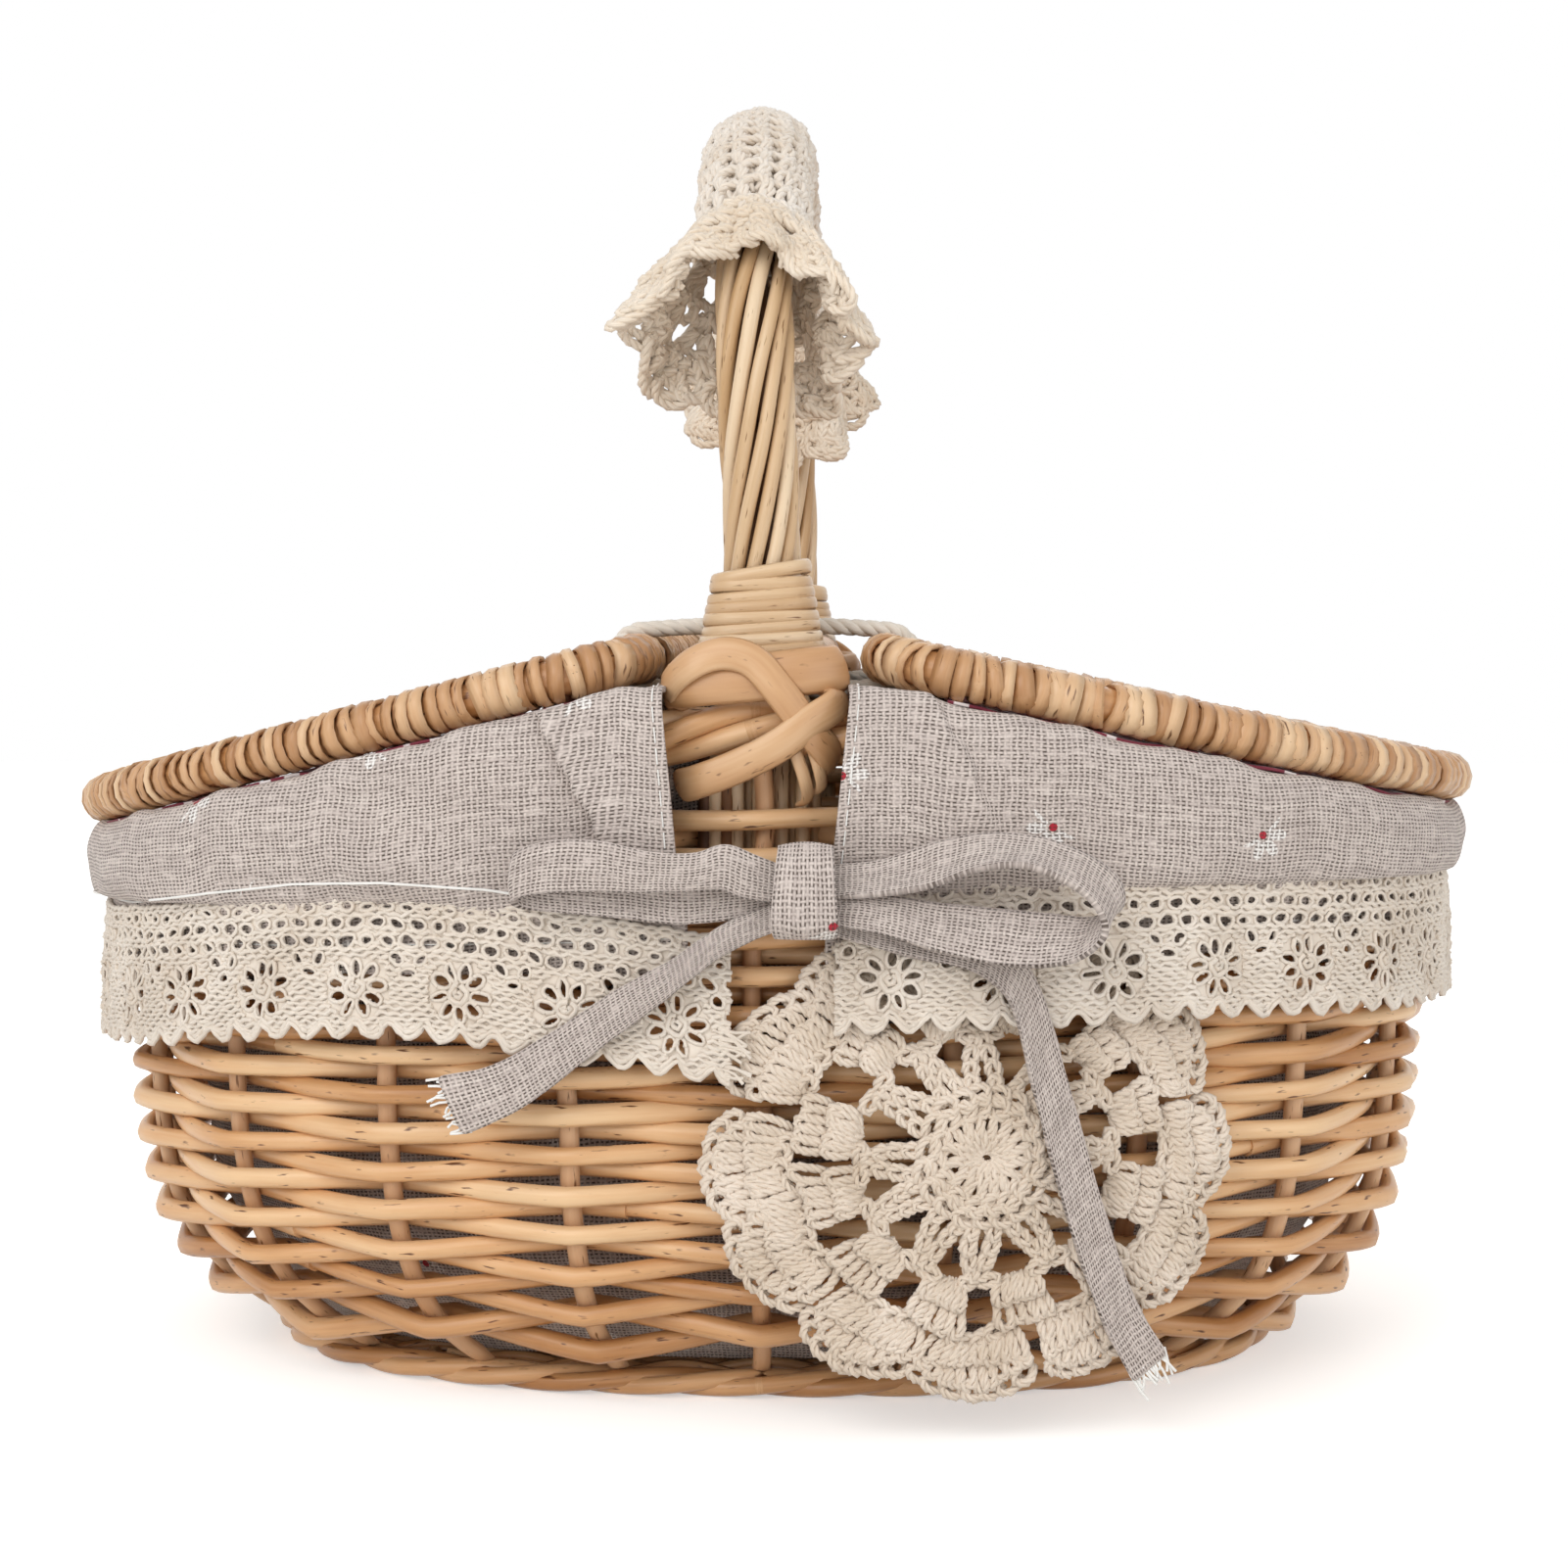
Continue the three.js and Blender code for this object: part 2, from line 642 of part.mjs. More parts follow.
function addHingeCords() {
  const arcSteps = 8;
  // one lap round both hoops, starting at the middle of its underside
  const lap = [[0, -windingRadius]];
  for (const side of [1, -1]) {
    for (let i = 0; i <= arcSteps; i++) {
      const turn = Math.PI * (i / arcSteps - 0.5);
      const x = hingeReach + windingRadius * Math.cos(turn);
      lap.push([side * x, side * windingRadius * Math.sin(turn)]);
    }
  }
  const pitch = cordDiameter + cordStep;
  // each turn lies flat round the hoops and steps over to the next one under the bridge
  const count = cordTurns * lap.length - 1;
  for (const [name, side] of [["hinge_cord_front", -1], ["hinge_cord_back", 1]]) {
    const points = Array.from({ length: count }, (_, i) => {
      const [x, z] = lap[i % lap.length];
      const turn = Math.floor(i / lap.length);
      const y = side * cordReach + pitch * (turn - (cordTurns - 1) / 2);
      return V(x, y, hingeHeight + z);
    });
    points.push(points.at(-1).clone().lerp(V(0, points.at(-1).y, hingeHeight - windingRadius), 0.5));
    addPiece(hamper, name, rod(points, cordDiameter / 2, 6, V(0, 1, 0)), cotton);
    const leastGap = leastDistance(points, lap.length / 2) - cordDiameter;
    console.log(`${name}: least gap between turns ${leastGap.toFixed(2)} mm`);
  }
}

// Liner: a linen bag inside the wall, and two flaps folded out over the border

const bagEase = 2;
const innerWall = -weaverReach(0, 0.5).reach - weaverDiameter / 2 - bagEase;

function addLinerBag() {
  const angles = evenAngles(30);
  const levels = [0, 0.05, 0.12, 0.25, 0.45, 0.9];
  const floor = baseMatLift + baseMatThickness + seatGap;
  const ring = (share, reach, lowest) =>
    angles.map((angle) => {
      const p = offWall(angle, share, reach);
      return p.setZ(Math.max(p.z, lowest));
    });
  const flatRing = (share, reach, z) => ring(share, reach, 0).map((p) => p.setZ(z));
  const outerRings = levels.map((share) => ring(share, innerWall, floor));
  const innerRings = levels.map((share) => ring(share, innerWall - clothThickness, floor + clothThickness));
  const outer = toManifold(loft([flatRing(0, innerWall - 2, floor), ...outerRings.slice(1)]));
  const mouth = innerRings.at(-1).map((p) => p.clone().setZ(p.z + rimPeakHeight));
  const first = flatRing(0, innerWall - 2 - clothThickness, floor + clothThickness);
  let bag = outer.subtract(toManifold(loft([first, ...innerRings.slice(1), mouth])));
  for (const side of [-1, 1]) {
    const notch = new THREE.BoxGeometry(2 * bagNotchHalfWidth, rimHalfDepth, 2 * rimPeakHeight);
    const lowest = handleFoot - bagNotchBelowLeg;
    notch.translate(0, side * (legReach - 2 * handleRadius + rimHalfDepth / 2), lowest + rimPeakHeight);
    bag = bag.subtract(toManifold(notch));
  }
  addPiece(hamper, "liner_bag", toGeometry(bag), linen);
}

// Angles round one end of the plan, from slit to slit
function sideAngles(side, count) {
  const reach = Math.asin((slitHalfWidth / rimHalfLength) ** (planPower / 2));
  const all = evenAngles(count, -Math.PI / 2 + reach, Math.PI / 2 - reach);
  all.push(Math.PI / 2 - reach);
  return side > 0 ? all : all.map((angle) => Math.PI - angle);
}

// A crease in the cloth beside each end of a flap
function crease(angle) {
  const plan = planPoint(angle, rimHalfLength, rimHalfDepth);
  const away = (Math.abs(plan.x) - slitHalfWidth - foldFromSlit) / foldWidth;
  return foldHeight * Math.exp(-away * away);
}

const hemMiddle = rimPeakHeight - flapDrop;
const hemHeight = (x) => hemMiddle + Math.tan(hemLean) * x;

function addFlaps() {
  const roll = borderRadius + borderEase;
  for (const [name, side] of [["liner_flap_left", -1], ["liner_flap_right", 1]]) {
    const rings = sideAngles(side, 32).map((angle) => {
      const { x } = planPoint(angle, rimHalfLength, rimHalfDepth);
      const height = borderAxisHeight(x);
      const hemLine = hemHeight(x);
      const belly = THREE.MathUtils.lerp(hemLine, height, 0.68);
      const puff = puffReach + crease(angle);
      const hem = hemReach + 0.6 * crease(angle);
      const outer = [
        [-roll - clothThickness, height - borderRadius],
        [-roll - clothThickness, height],
        [-0.7 * (roll + clothThickness), height + 0.71 * (roll + clothThickness)],
        [0, height + roll + clothThickness],
        [0.75 * (roll + clothThickness), height + 0.7 * (roll + clothThickness)],
        [puff, belly],
        [hem, hemLine + laceOverlap + 1],
        [hem, hemLine],
      ];
      const inner = [
        [hem - clothThickness, hemLine],
        [hem - clothThickness, hemLine + laceOverlap + 1],
        [puff - clothThickness, belly],
        [0.75 * roll, height + 0.7 * roll],
        [0, height + roll],
        [-0.7 * roll, height + 0.71 * roll],
        [-roll, height],
        [-roll, height - borderRadius],
      ];
      return [...outer, ...inner].map(([reach, z]) => rimAxis(angle, reach).setZ(z));
    });
    addPiece(hamper, name, loft(rings), linen);
  }
}

// Lace sewn outside the hem, with a scalloped lower edge
function addLace() {
  const columns = 64;
  for (const [name, side] of [["lace_trim_left", -1], ["lace_trim_right", 1]]) {
    const angles = sideAngles(side, columns);
    let length = 0;
    let last = rimAxis(angles[0]);
    const rings = angles.map((angle) => {
      const here = rimAxis(angle);
      length += here.setZ(0).distanceTo(last.setZ(0));
      last = here;
      const scallop = scallopDepth * Math.abs(Math.cos((Math.PI * length) / scallopPitch));
      const top = hemHeight(here.x) + laceOverlap;
      const edge = top - laceHeight + scallop;
      const reach = hemReach + 0.6 * crease(angle) + seatGap;
      const out = reach + laceThickness;
      return [
        rimAxis(angle, reach).setZ(top),
        rimAxis(angle, out).setZ(top),
        rimAxis(angle, out).setZ(edge),
        rimAxis(angle, reach).setZ(edge),
      ];
    });
    addPiece(hamper, name, loft(rings), cotton);
  }
}

// Bow: the liner's ties, knotted over each slit, with two loops and two tails

function tangentAt(points, i) {
  const after = points[Math.min(i + 1, points.length - 1)];
  return after.clone().sub(points[Math.max(i - 1, 0)]).normalize();
}

// One loop from the knot out and back again, its ribbon standing across the wall
function bowLoop(length, height) {
  const path = new THREE.CurvePath();
  const at = (x, z) => V(x, 0, z);
  const tip = at(length, 0.05 * height);
  const start = ribbonThickness;
  const upper = [at(0, start), at(0.35 * length, 0.75 * height), at(length, 0.7 * height), tip];
  const lower = [tip, at(length, -0.6 * height), at(0.35 * length, -0.45 * height), at(0, -start)];
  path.add(new THREE.CubicBezierCurve3(...upper));
  path.add(new THREE.CubicBezierCurve3(...lower));
  const points = path.getSpacedPoints(14);
  const rings = points.map((p, i) => {
    const along = tangentAt(points, i);
    const out = along.clone().cross(V(0, 1, 0)).multiplyScalar(ribbonThickness / 2);
    const far = V(0, -ribbonWidth, 0);
    return [
      p.clone().add(out),
      p.clone().add(out).add(far),
      p.clone().sub(out).add(far),
      p.clone().sub(out),
    ];
  });
  return loft(rings);
}

function ribbon(points, width) {
  const rings = points.map((p, i) => {
    const along = tangentAt(points, i);
    const out = V(0, -1, 0).projectOnPlane(along).normalize();
    const across = along.clone().cross(out).multiplyScalar(width / 2);
    out.multiplyScalar(ribbonThickness / 2);
    return [
      p.clone().add(across).add(out),
      p.clone().sub(across).add(out),
      p.clone().sub(across).sub(out),
      p.clone().add(across).sub(out),
    ];
  });
  return loft(rings);
}

// The knot sits on the weave in the slit; loops and tails lie outside the flaps' creases
const knotBack = rimHalfDepth + weaverReach(0, 0.8).reach + weaverDiameter / 2 + seatGap;
const bowBack = rimHalfDepth + puffReach + seatGap;

function addBow(name, turn) {
  const bow = new THREE.Group();
  bow.rotation.z = turn;
  hamper.add(bow);
  const bowHeight = hemMiddle + bowAboveHem;
  const knotHalf = bowKnotWidth / 2;
  const depth = bowBack - knotBack + ribbonWidth + 2 * ribbonThickness;
  const corner = 4;
  const knotShape = new THREE.Shape();
  knotShape.absarc(knotHalf - corner, bowKnotHeight / 2 - corner, corner, 0, Math.PI / 2);
  knotShape.absarc(-knotHalf + corner, bowKnotHeight / 2 - corner, corner, Math.PI / 2, Math.PI);
  knotShape.absarc(-knotHalf + corner, -bowKnotHeight / 2 + corner, corner, Math.PI, 1.5 * Math.PI);
  knotShape.absarc(knotHalf - corner, -bowKnotHeight / 2 + corner, corner, 1.5 * Math.PI, 2 * Math.PI);
  const knot = new THREE.ExtrudeGeometry(knotShape, { depth, bevelEnabled: false, curveSegments: 2 });
  const knotMesh = addPiece(bow, `${name}_knot`, knot.rotateX(Math.PI / 2), linen);
  knotMesh.position.set(bowKnotX, -knotBack, bowHeight);

  const loops = [[`${name}_loop_right`, 1], [`${name}_loop_left`, -1]];
  for (const [loopName, side] of loops) {
    const loop = bowLoop(bowLoopLength, bowLoopHeight);
    if (side < 0) loop.rotateZ(Math.PI).translate(0, -ribbonWidth, 0);
    const mesh = addPiece(bow, loopName, loop, linen);
    mesh.position.set(bowKnotX + side * (knotHalf + seatGap), -bowBack, bowHeight + 2);
  }

  const tailFace = -bowBack - 0.5;
  // shares of each tail's reach and drop: the left one is pulled out straight, the right one hangs
  const slanted = [[0, 0], [0.26, 0.23], [0.54, 0.5], [0.85, 0.85], [1, 1]];
  const hanging = [[0, 0], [0.35, 0.14], [0.62, 0.31], [0.81, 0.67], [1, 1]];
  const tails = [
    [`${name}_tail_left`, -1, slanted, leftTailReach, leftTailDrop],
    [`${name}_tail_right`, 1, hanging, rightTailReach, rightTailDrop],
  ];
  for (const [tailName, side, route, reach, drop] of tails) {
    const start = bowKnotX + side * (knotHalf + seatGap + ribbonWidth / 2 - 1);
    const high = bowHeight - 0.4 * bowKnotHeight;
    const points = route.map(([x, z]) => V(start + side * reach * x, tailFace, high - drop * z));
    addPiece(bow, tailName, ribbon(points, ribbonWidth), linen);
  }
}

// Crochet rosette hung from behind the lace: a hub, spokes and a ring of petals
function addRosette() {
  const rosetteZ = hemMiddle - rosetteBelowHem - rosetteHalfHeight;
  const shape = new THREE.Shape();
  const steps = rosettePetals * 4;
  for (let i = 0; i < steps; i++) {
    const angle = (2 * Math.PI * i) / steps;
    const radius = 0.86 + 0.14 * Math.abs(Math.sin((rosettePetals * angle) / 2));
    const point = [radius * Math.cos(angle), radius * Math.sin(angle)];
    if (i === 0) shape.moveTo(...point);
    else shape.lineTo(...point);
  }
  const openings = [
    [0.3, 0.52, 0.72, 0],
    [0.7, 0.8, 0.45, 0.5],
  ];
  for (const [near, far, width, turn] of openings) {
    for (let i = 0; i < rosettePetals; i++) {
      const middle = (2 * Math.PI * (i + turn)) / rosettePetals;
      const half = (width * Math.PI) / rosettePetals;
      const hole = new THREE.Path();
      hole.absarc(0, 0, far, middle - half, middle + half);
      hole.absarc(0, 0, near, middle + half, middle - half, true);
      shape.holes.push(hole);
    }
  }
  const settings = { depth: rosetteThickness, bevelEnabled: false, curveSegments: 2 };
  const plate = new THREE.ExtrudeGeometry(shape, settings);
  // stood up and bent to the front wall, just clear of the weavers under the lace
  const position = plate.getAttribute("position");
  const outside = weaverReach(0, 0.7).reach + weaverDiameter / 2 + rosetteEase;
  for (let i = 0; i < position.count; i++) {
    const x = rosetteX + rosetteHalfWidth * position.getX(i);
    const z = rosetteZ + rosetteHalfHeight * position.getY(i);
    const share = Math.min(1, Math.abs(x) / rimHalfLength);
    const wall = rimHalfDepth * (1 - share ** planPower) ** (1 / planPower);
    position.setXYZ(i, x, -wall - outside - position.getZ(i), z);
  }
  addPiece(hamper, "crochet_rosette", toGeometry(toManifold(plate)), cotton);
}

// Crochet cover on the grip, tight over the arch and flaring into a hanging frill at both ends
function addGripCover() {
  const around = 20;
  const stations = [-1, -0.66, -0.33, 0];
  const lengths = [
    ...stations.map((s) => s * frillLength - gripHalfLength),
    ...[-0.8, -0.6, -0.4, -0.2, 0, 0.2, 0.4, 0.6, 0.8].map((s) => s * gripHalfLength),
    ...stations.map((s) => -s * frillLength + gripHalfLength).reverse(),
  ];
  const ring = (length, inside) => {
    const { centre, across, out } = handleFrame(length);
    const flare = Math.max(0, Math.abs(length) - gripHalfLength) / frillLength;
    const sag = V(0, 0, -1);
    return Array.from({ length: around }, (_, j) => {
      const angle = (2 * Math.PI * j) / around;
      const underside = 0.5 - 0.5 * Math.sin(angle);
      const opened = flare * frillFlare * (0.45 + 0.55 * underside);
      const ripple = flare * frillRipple * Math.cos(frillRipples * angle);
      const outer = gripOuterRadius + opened + ripple;
      const tight = handleRadius + gripEase;
      const wall = THREE.MathUtils.lerp(gripOuterRadius - tight, frillThickness, smooth(flare * 3));
      const radius = inside ? Math.max(tight, outer - wall) : outer;
      return centre
        .clone()
        .addScaledVector(across, radius * Math.cos(angle))
        .addScaledVector(out, radius * Math.sin(angle))
        .addScaledVector(sag, 4 * flare * flare * underside);
    });
  };
  const outerRings = lengths.map((length) => ring(length, false));
  const innerRings = lengths.map((length) => ring(length, true)).reverse();
  addPiece(hamper, "grip_cover", loft([...outerRings, ...innerRings], true), cotton);
}

addBase();
addStakes();
addWeavers();
addBorder();
addHandle();
addCollars();
addLashings();
addBridge();
addHingeCords();
addLid("lid_left", -1);
addLid("lid_right", 1);
addLinerBag();
addFlaps();
addLace();
addBow("bow_front", 0);
addBow("bow_back", Math.PI);
addRosette();
addGripCover();

export default hamper;
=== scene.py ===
import json
import math
import random
from functools import partial

import bpy
import numpy as np
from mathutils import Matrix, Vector, noise


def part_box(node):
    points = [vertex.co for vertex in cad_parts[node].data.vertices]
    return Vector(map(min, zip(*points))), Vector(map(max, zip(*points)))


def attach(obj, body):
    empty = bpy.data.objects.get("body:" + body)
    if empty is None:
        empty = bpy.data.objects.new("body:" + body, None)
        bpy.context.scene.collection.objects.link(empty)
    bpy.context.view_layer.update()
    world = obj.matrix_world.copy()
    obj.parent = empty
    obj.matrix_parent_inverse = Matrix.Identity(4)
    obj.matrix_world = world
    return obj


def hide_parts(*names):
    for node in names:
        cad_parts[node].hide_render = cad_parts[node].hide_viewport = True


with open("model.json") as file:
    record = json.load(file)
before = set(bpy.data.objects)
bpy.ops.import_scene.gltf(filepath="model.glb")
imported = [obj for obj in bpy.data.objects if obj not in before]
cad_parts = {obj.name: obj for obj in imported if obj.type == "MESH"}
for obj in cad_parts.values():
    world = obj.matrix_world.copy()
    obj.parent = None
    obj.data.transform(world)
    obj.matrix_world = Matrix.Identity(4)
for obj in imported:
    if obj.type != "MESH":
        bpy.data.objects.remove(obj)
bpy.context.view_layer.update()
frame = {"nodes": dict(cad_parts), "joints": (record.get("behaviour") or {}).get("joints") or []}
scene = bpy.context.scene
mm = 0.001
print("hamper: frame loaded,", len(frame["nodes"]), "nodes")

# the photograph's camera: level with the lids, three quarters of a metre away
view = dict(distance=740, height=177, azimuth=2.0, pitch=3.12, yaw=0.15, focalPixels=2940, imagePixels=1601,
            sensorWidth=36)


def addCamera():
    data = bpy.data.cameras.new("photoCamera")
    data.sensor_width = view["sensorWidth"]
    data.lens = data.sensor_width * view["focalPixels"] / view["imagePixels"]
    camera = bpy.data.objects.new("photoCamera", data)
    turn = math.radians(view["azimuth"])
    away = view["distance"] * mm
    camera.location = (away * math.sin(turn), -away * math.cos(turn), view["height"] * mm)
    camera.rotation_euler = (math.radians(90 - view["pitch"]), 0, turn - math.radians(view["yaw"]))
    scene.collection.objects.link(camera)
    scene.camera = camera


addCamera()


def addNode(tree, kind, inputs=None, stops=(), **settings):  # a node given as an input stands for its first output
    node = tree.nodes.new(kind)
    for name, value in settings.items():
        setattr(node, name, value)
    for name, value in (inputs or {}).items():
        if isinstance(value, bpy.types.Node):
            value = next(socket for socket in value.outputs if socket.enabled)
        if isinstance(value, bpy.types.NodeSocket):
            tree.links.new(value, node.inputs[name])
        else:
            node.inputs[name].default_value = value
    for i, (place, colour) in enumerate(stops):
        elements = node.color_ramp.elements
        if len(elements) < len(stops):
            elements.new(0.5)
        elements[i].position, elements[i].color = place, linear(colour)
    return node


def linear(colour):
    parts = [int(colour[i:i + 2], 16) / 255 for i in (1, 3, 5)]
    return [p / 12.92 if p <= 0.04045 else ((p + 0.055) / 1.055) ** 2.4 for p in parts] + [1]


# materials

def newMaterial(name):
    material = bpy.data.materials.new(name)
    material.use_nodes = True
    material.node_tree.nodes.clear()
    return material, partial(addNode, material.node_tree)


# rough: roughness where the relief is low and where it is high; bump: strength, and depth in millimetres
def closeMaterial(material, add, colour, relief, rough, bump=None, **more):
    more.update({"Base Color": colour, "Roughness": add("ShaderNodeMapRange", {
        "Value": relief, "To Min": rough[0], "To Max": rough[1]})})
    if bump:
        more["Normal"] = add("ShaderNodeBump", {"Height": relief, "Strength": bump[0], "Distance": bump[1] * mm})
    add("ShaderNodeOutputMaterial", {"Surface": add("ShaderNodeBsdfPrincipled", more)})
    return material


def strandFields(add):  # what each strand carries: its tone, the length along it and the way round it
    return [add("ShaderNodeAttribute", attribute_name=name).outputs[kind]
            for name, kind in (("tone", "Fac"), ("along", "Fac"), ("ring", "Vector"))]


def strandNoise(add, along, ring, shift, perMetre, across, detail):  # noise drawn out along a strand
    run = add("ShaderNodeMath", {0: along, 1: perMetre, 2: shift}, operation="MULTIPLY_ADD")
    place = add("ShaderNodeCombineXYZ", {"X": run})
    spot = add("ShaderNodeVectorMath", {0: ring, 1: (across,) * 3, 2: place}, operation="MULTIPLY_ADD")
    return add("ShaderNodeTexNoise", {"Vector": spot, "Scale": 1.0, "Detail": detail})


# willow: boiled, stripped or split rods; satin skin, fine grain along the rod, brown leaf scars
# noises for soft patches, fine grain and leaf scars: cells per metre of rod, cells across it, detail
willow = dict(noises=((30, 0.5, 3.0), (60, 3.5, 5.0), (170, 2.2, 2.0)), shift=40.0, toneShare=0.7, grainShare=0.3,
              spread=(0.58, 1.42), scars=(0.65, 0.73), smoother=0.08, rougher=0.14, bump=(0.35, 0.25))


def makeWillow(name, dark, middle, light, scar, roughness):
    material, add = newMaterial(name)
    tone, along, ring = strandFields(add)
    shift = add("ShaderNodeMath", {0: tone, 1: willow["shift"]}, operation="MULTIPLY")
    patches, grain, scars = [strandNoise(add, along, ring, shift, *size) for size in willow["noises"]]
    mixed = add("ShaderNodeMath", {0: tone, 1: willow["toneShare"], 2: patches}, operation="MULTIPLY_ADD")
    shade = add("ShaderNodeMath", {0: grain, 1: willow["grainShare"], 2: mixed}, operation="MULTIPLY_ADD")
    spread, spots = [add("ShaderNodeMapRange", {"Value": value, "From Min": willow[key][0], "From Max": willow[key][1]})
                     for value, key in ((shade, "spread"), (scars, "scars"))]
    body = add("ShaderNodeValToRGB", {"Fac": spread}, ((0.0, dark), (0.5, middle), (1.0, light)))
    coloured = add("ShaderNodeMix", {"Factor": spots, "A": body, "B": linear(scar)}, data_type="RGBA")
    rough = (roughness - willow["smoother"], roughness + willow["rougher"])
    return closeMaterial(material, add, coloured, grain, rough, willow["bump"], **{"IOR": 1.5})


buffWillow = makeWillow("buffWillowRods", "#B07A47", "#D4A372", "#E6C195", "#5E361B", 0.32)
stakeWillow = makeWillow("strippedWillowStakes", "#B5825A", "#C99B72", "#D8B28C", "#7F5532", 0.46)
peeledWillow = makeWillow("whiteWillowHandle", "#B99468", "#CFB08A", "#DEC6A6", "#7C5830", 0.40)
splitWillow = makeWillow("splitWillowSkein", "#AB7B50", "#C89C71", "#DCBA93", "#664022", 0.34)
# the collar's skeins are paler and shine more
paleWillow = makeWillow("paleWillowSkeins", "#B48F68", "#CBA981", "#DEC4A2", "#7A5330", 0.30)
# dark rods inside the handle: painted shade, their dark brown stands for the shadow in its gaps
coreShadeWillow = makeWillow("handleCoreShadeWillow", "#4E311B", "#6B4528", "#7F5836", "#3A2212", 0.6)

# floor, backdrop and light; softboxes: place and size in metres, power in watts

studio = dict(floorColour="#F3F2EF", floorSize=6.0, floorLift=0.46, grit=900.0, worldColour="#FFFFFF",
              worldStrength=0.66, aim=(0, 0, 0.12), lamps=dict(keySoftbox=((-0.75, -1.25, 1.0), 1.3, 13.0),
              fillSoftbox=((1.2, -1.25, 0.42), 1.4, 7.5), backSoftbox=((0.2, 1.3, 1.3), 1.4, 4.5)))


def sharpRays(add):  # 1 for what the camera sees, straight or in a mirror, and 0 for soft light
    path = add("ShaderNodeLightPath").outputs
    seen = path["Is Camera Ray"]
    for kind in ("Is Glossy Ray", "Is Transmission Ray"):
        seen = add("ShaderNodeMath", {0: seen, 1: path[kind]}, operation="MAXIMUM")
    return seen


def addStudio():
    world = scene.world = bpy.data.worlds.new("studioWorld")
    world.use_nodes = True
    world.node_tree.nodes.clear()
    add = partial(addNode, world.node_tree)
    strength = add("ShaderNodeMapRange", {"Value": sharpRays(add), "To Min": studio["worldStrength"], "To Max": 1.0})
    light = add("ShaderNodeBackground", {"Color": linear(studio["worldColour"]), "Strength": strength})
    add("ShaderNodeOutputWorld", {"Surface": light})

    half = studio["floorSize"] / 2
    mesh = bpy.data.meshes.new("studioFloor")
    mesh.from_pydata([(-half, -half, 0), (half, -half, 0), (half, half, 0), (-half, half, 0)], [], [(0, 1, 2, 3)])
    floor = bpy.data.objects.new("studioFloor", mesh)
    scene.collection.objects.link(floor)
    material, add = newMaterial("matteFloorPaint")  # even and near white, hardly any shine
    place = add("ShaderNodeTexCoord").outputs["Object"]
    grit = add("ShaderNodeTexNoise", {"Vector": place, "Scale": studio["grit"]})
    lift = add("ShaderNodeMath", {0: sharpRays(add), 1: studio["floorLift"]}, operation="MULTIPLY")
    mesh.materials.append(closeMaterial(material, add, linear(studio["floorColour"]), grit, (0.8, 0.95), **{
        "Specular IOR Level": 0.1, "Emission Color": (1, 1, 1, 1), "Emission Strength": lift}))

    for name, (place, size, power) in studio["lamps"].items():
        data = bpy.data.lights.new(name, "AREA")
        data.energy, data.size = power, size
        lamp = bpy.data.objects.new(name, data)
        lamp.location = place
        lamp.rotation_euler = (Vector(studio["aim"]) - Vector(place)).to_track_quat("-Z", "Y").to_euler()
        scene.collection.objects.link(lamp)
    scene.view_settings.view_transform = "Standard"


addStudio()


# strands: lines of points in millimetres that Geometry Nodes sweep into rods, bands and yarn

def smooth(t):
    t = np.clip(t, 0, 1)
    return t * t * (3 - 2 * t)


def wander(rng, run, period, reach):  # soft unevenness along a run
    total = 0 * run
    for share in (1.0, 0.55, 0.3):
        pace = 2 * math.pi / (period * share * rng.uniform(0.8, 1.25))
        total = total + share * np.sin(run * pace + rng.uniform(0, 2 * math.pi))
    return reach * total / 1.85


def runOf(points):
    return np.concatenate([[0], np.cumsum(np.linalg.norm(np.diff(points, axis=0), axis=1))])


def unit(ways):
    return ways / np.linalg.norm(ways, axis=-1, keepdims=True)


def stretches(index):  # a rising list of places, parted where it skips some
    return np.split(index, np.where(np.diff(index) > 1)[0] + 1)


def squared(angle, power):  # a circle pressed out towards its corners
    c, s = np.cos(angle), np.sin(angle)
    return np.sign(c) * np.abs(c) ** power, np.sign(s) * np.abs(s) ** power


def curveThrough(points, count):  # Catmull-Rom through a few points, evenly spread
    p = np.asarray(points, float)
    padded = np.vstack([2 * p[0] - p[1], p, 2 * p[-1] - p[-2]])
    fine = []
    for i in range(len(p) - 1):
        a, b, c, d = padded[i:i + 4]
        t = np.linspace(0, 1, 24, endpoint=False)[:, None]
        fine.append(0.5 * (2 * b + (c - a) * t + (2 * a - 5 * b + 4 * c - d) * t ** 2
                           + (3 * b - a - 3 * c + d) * t ** 3))
    fine = np.vstack([*fine, p[-1:]])
    run = runOf(fine)
    even = np.linspace(0, run[-1], count)
    return np.stack([np.interp(even, run, fine[:, k]) for k in range(fine.shape[1])], 1)


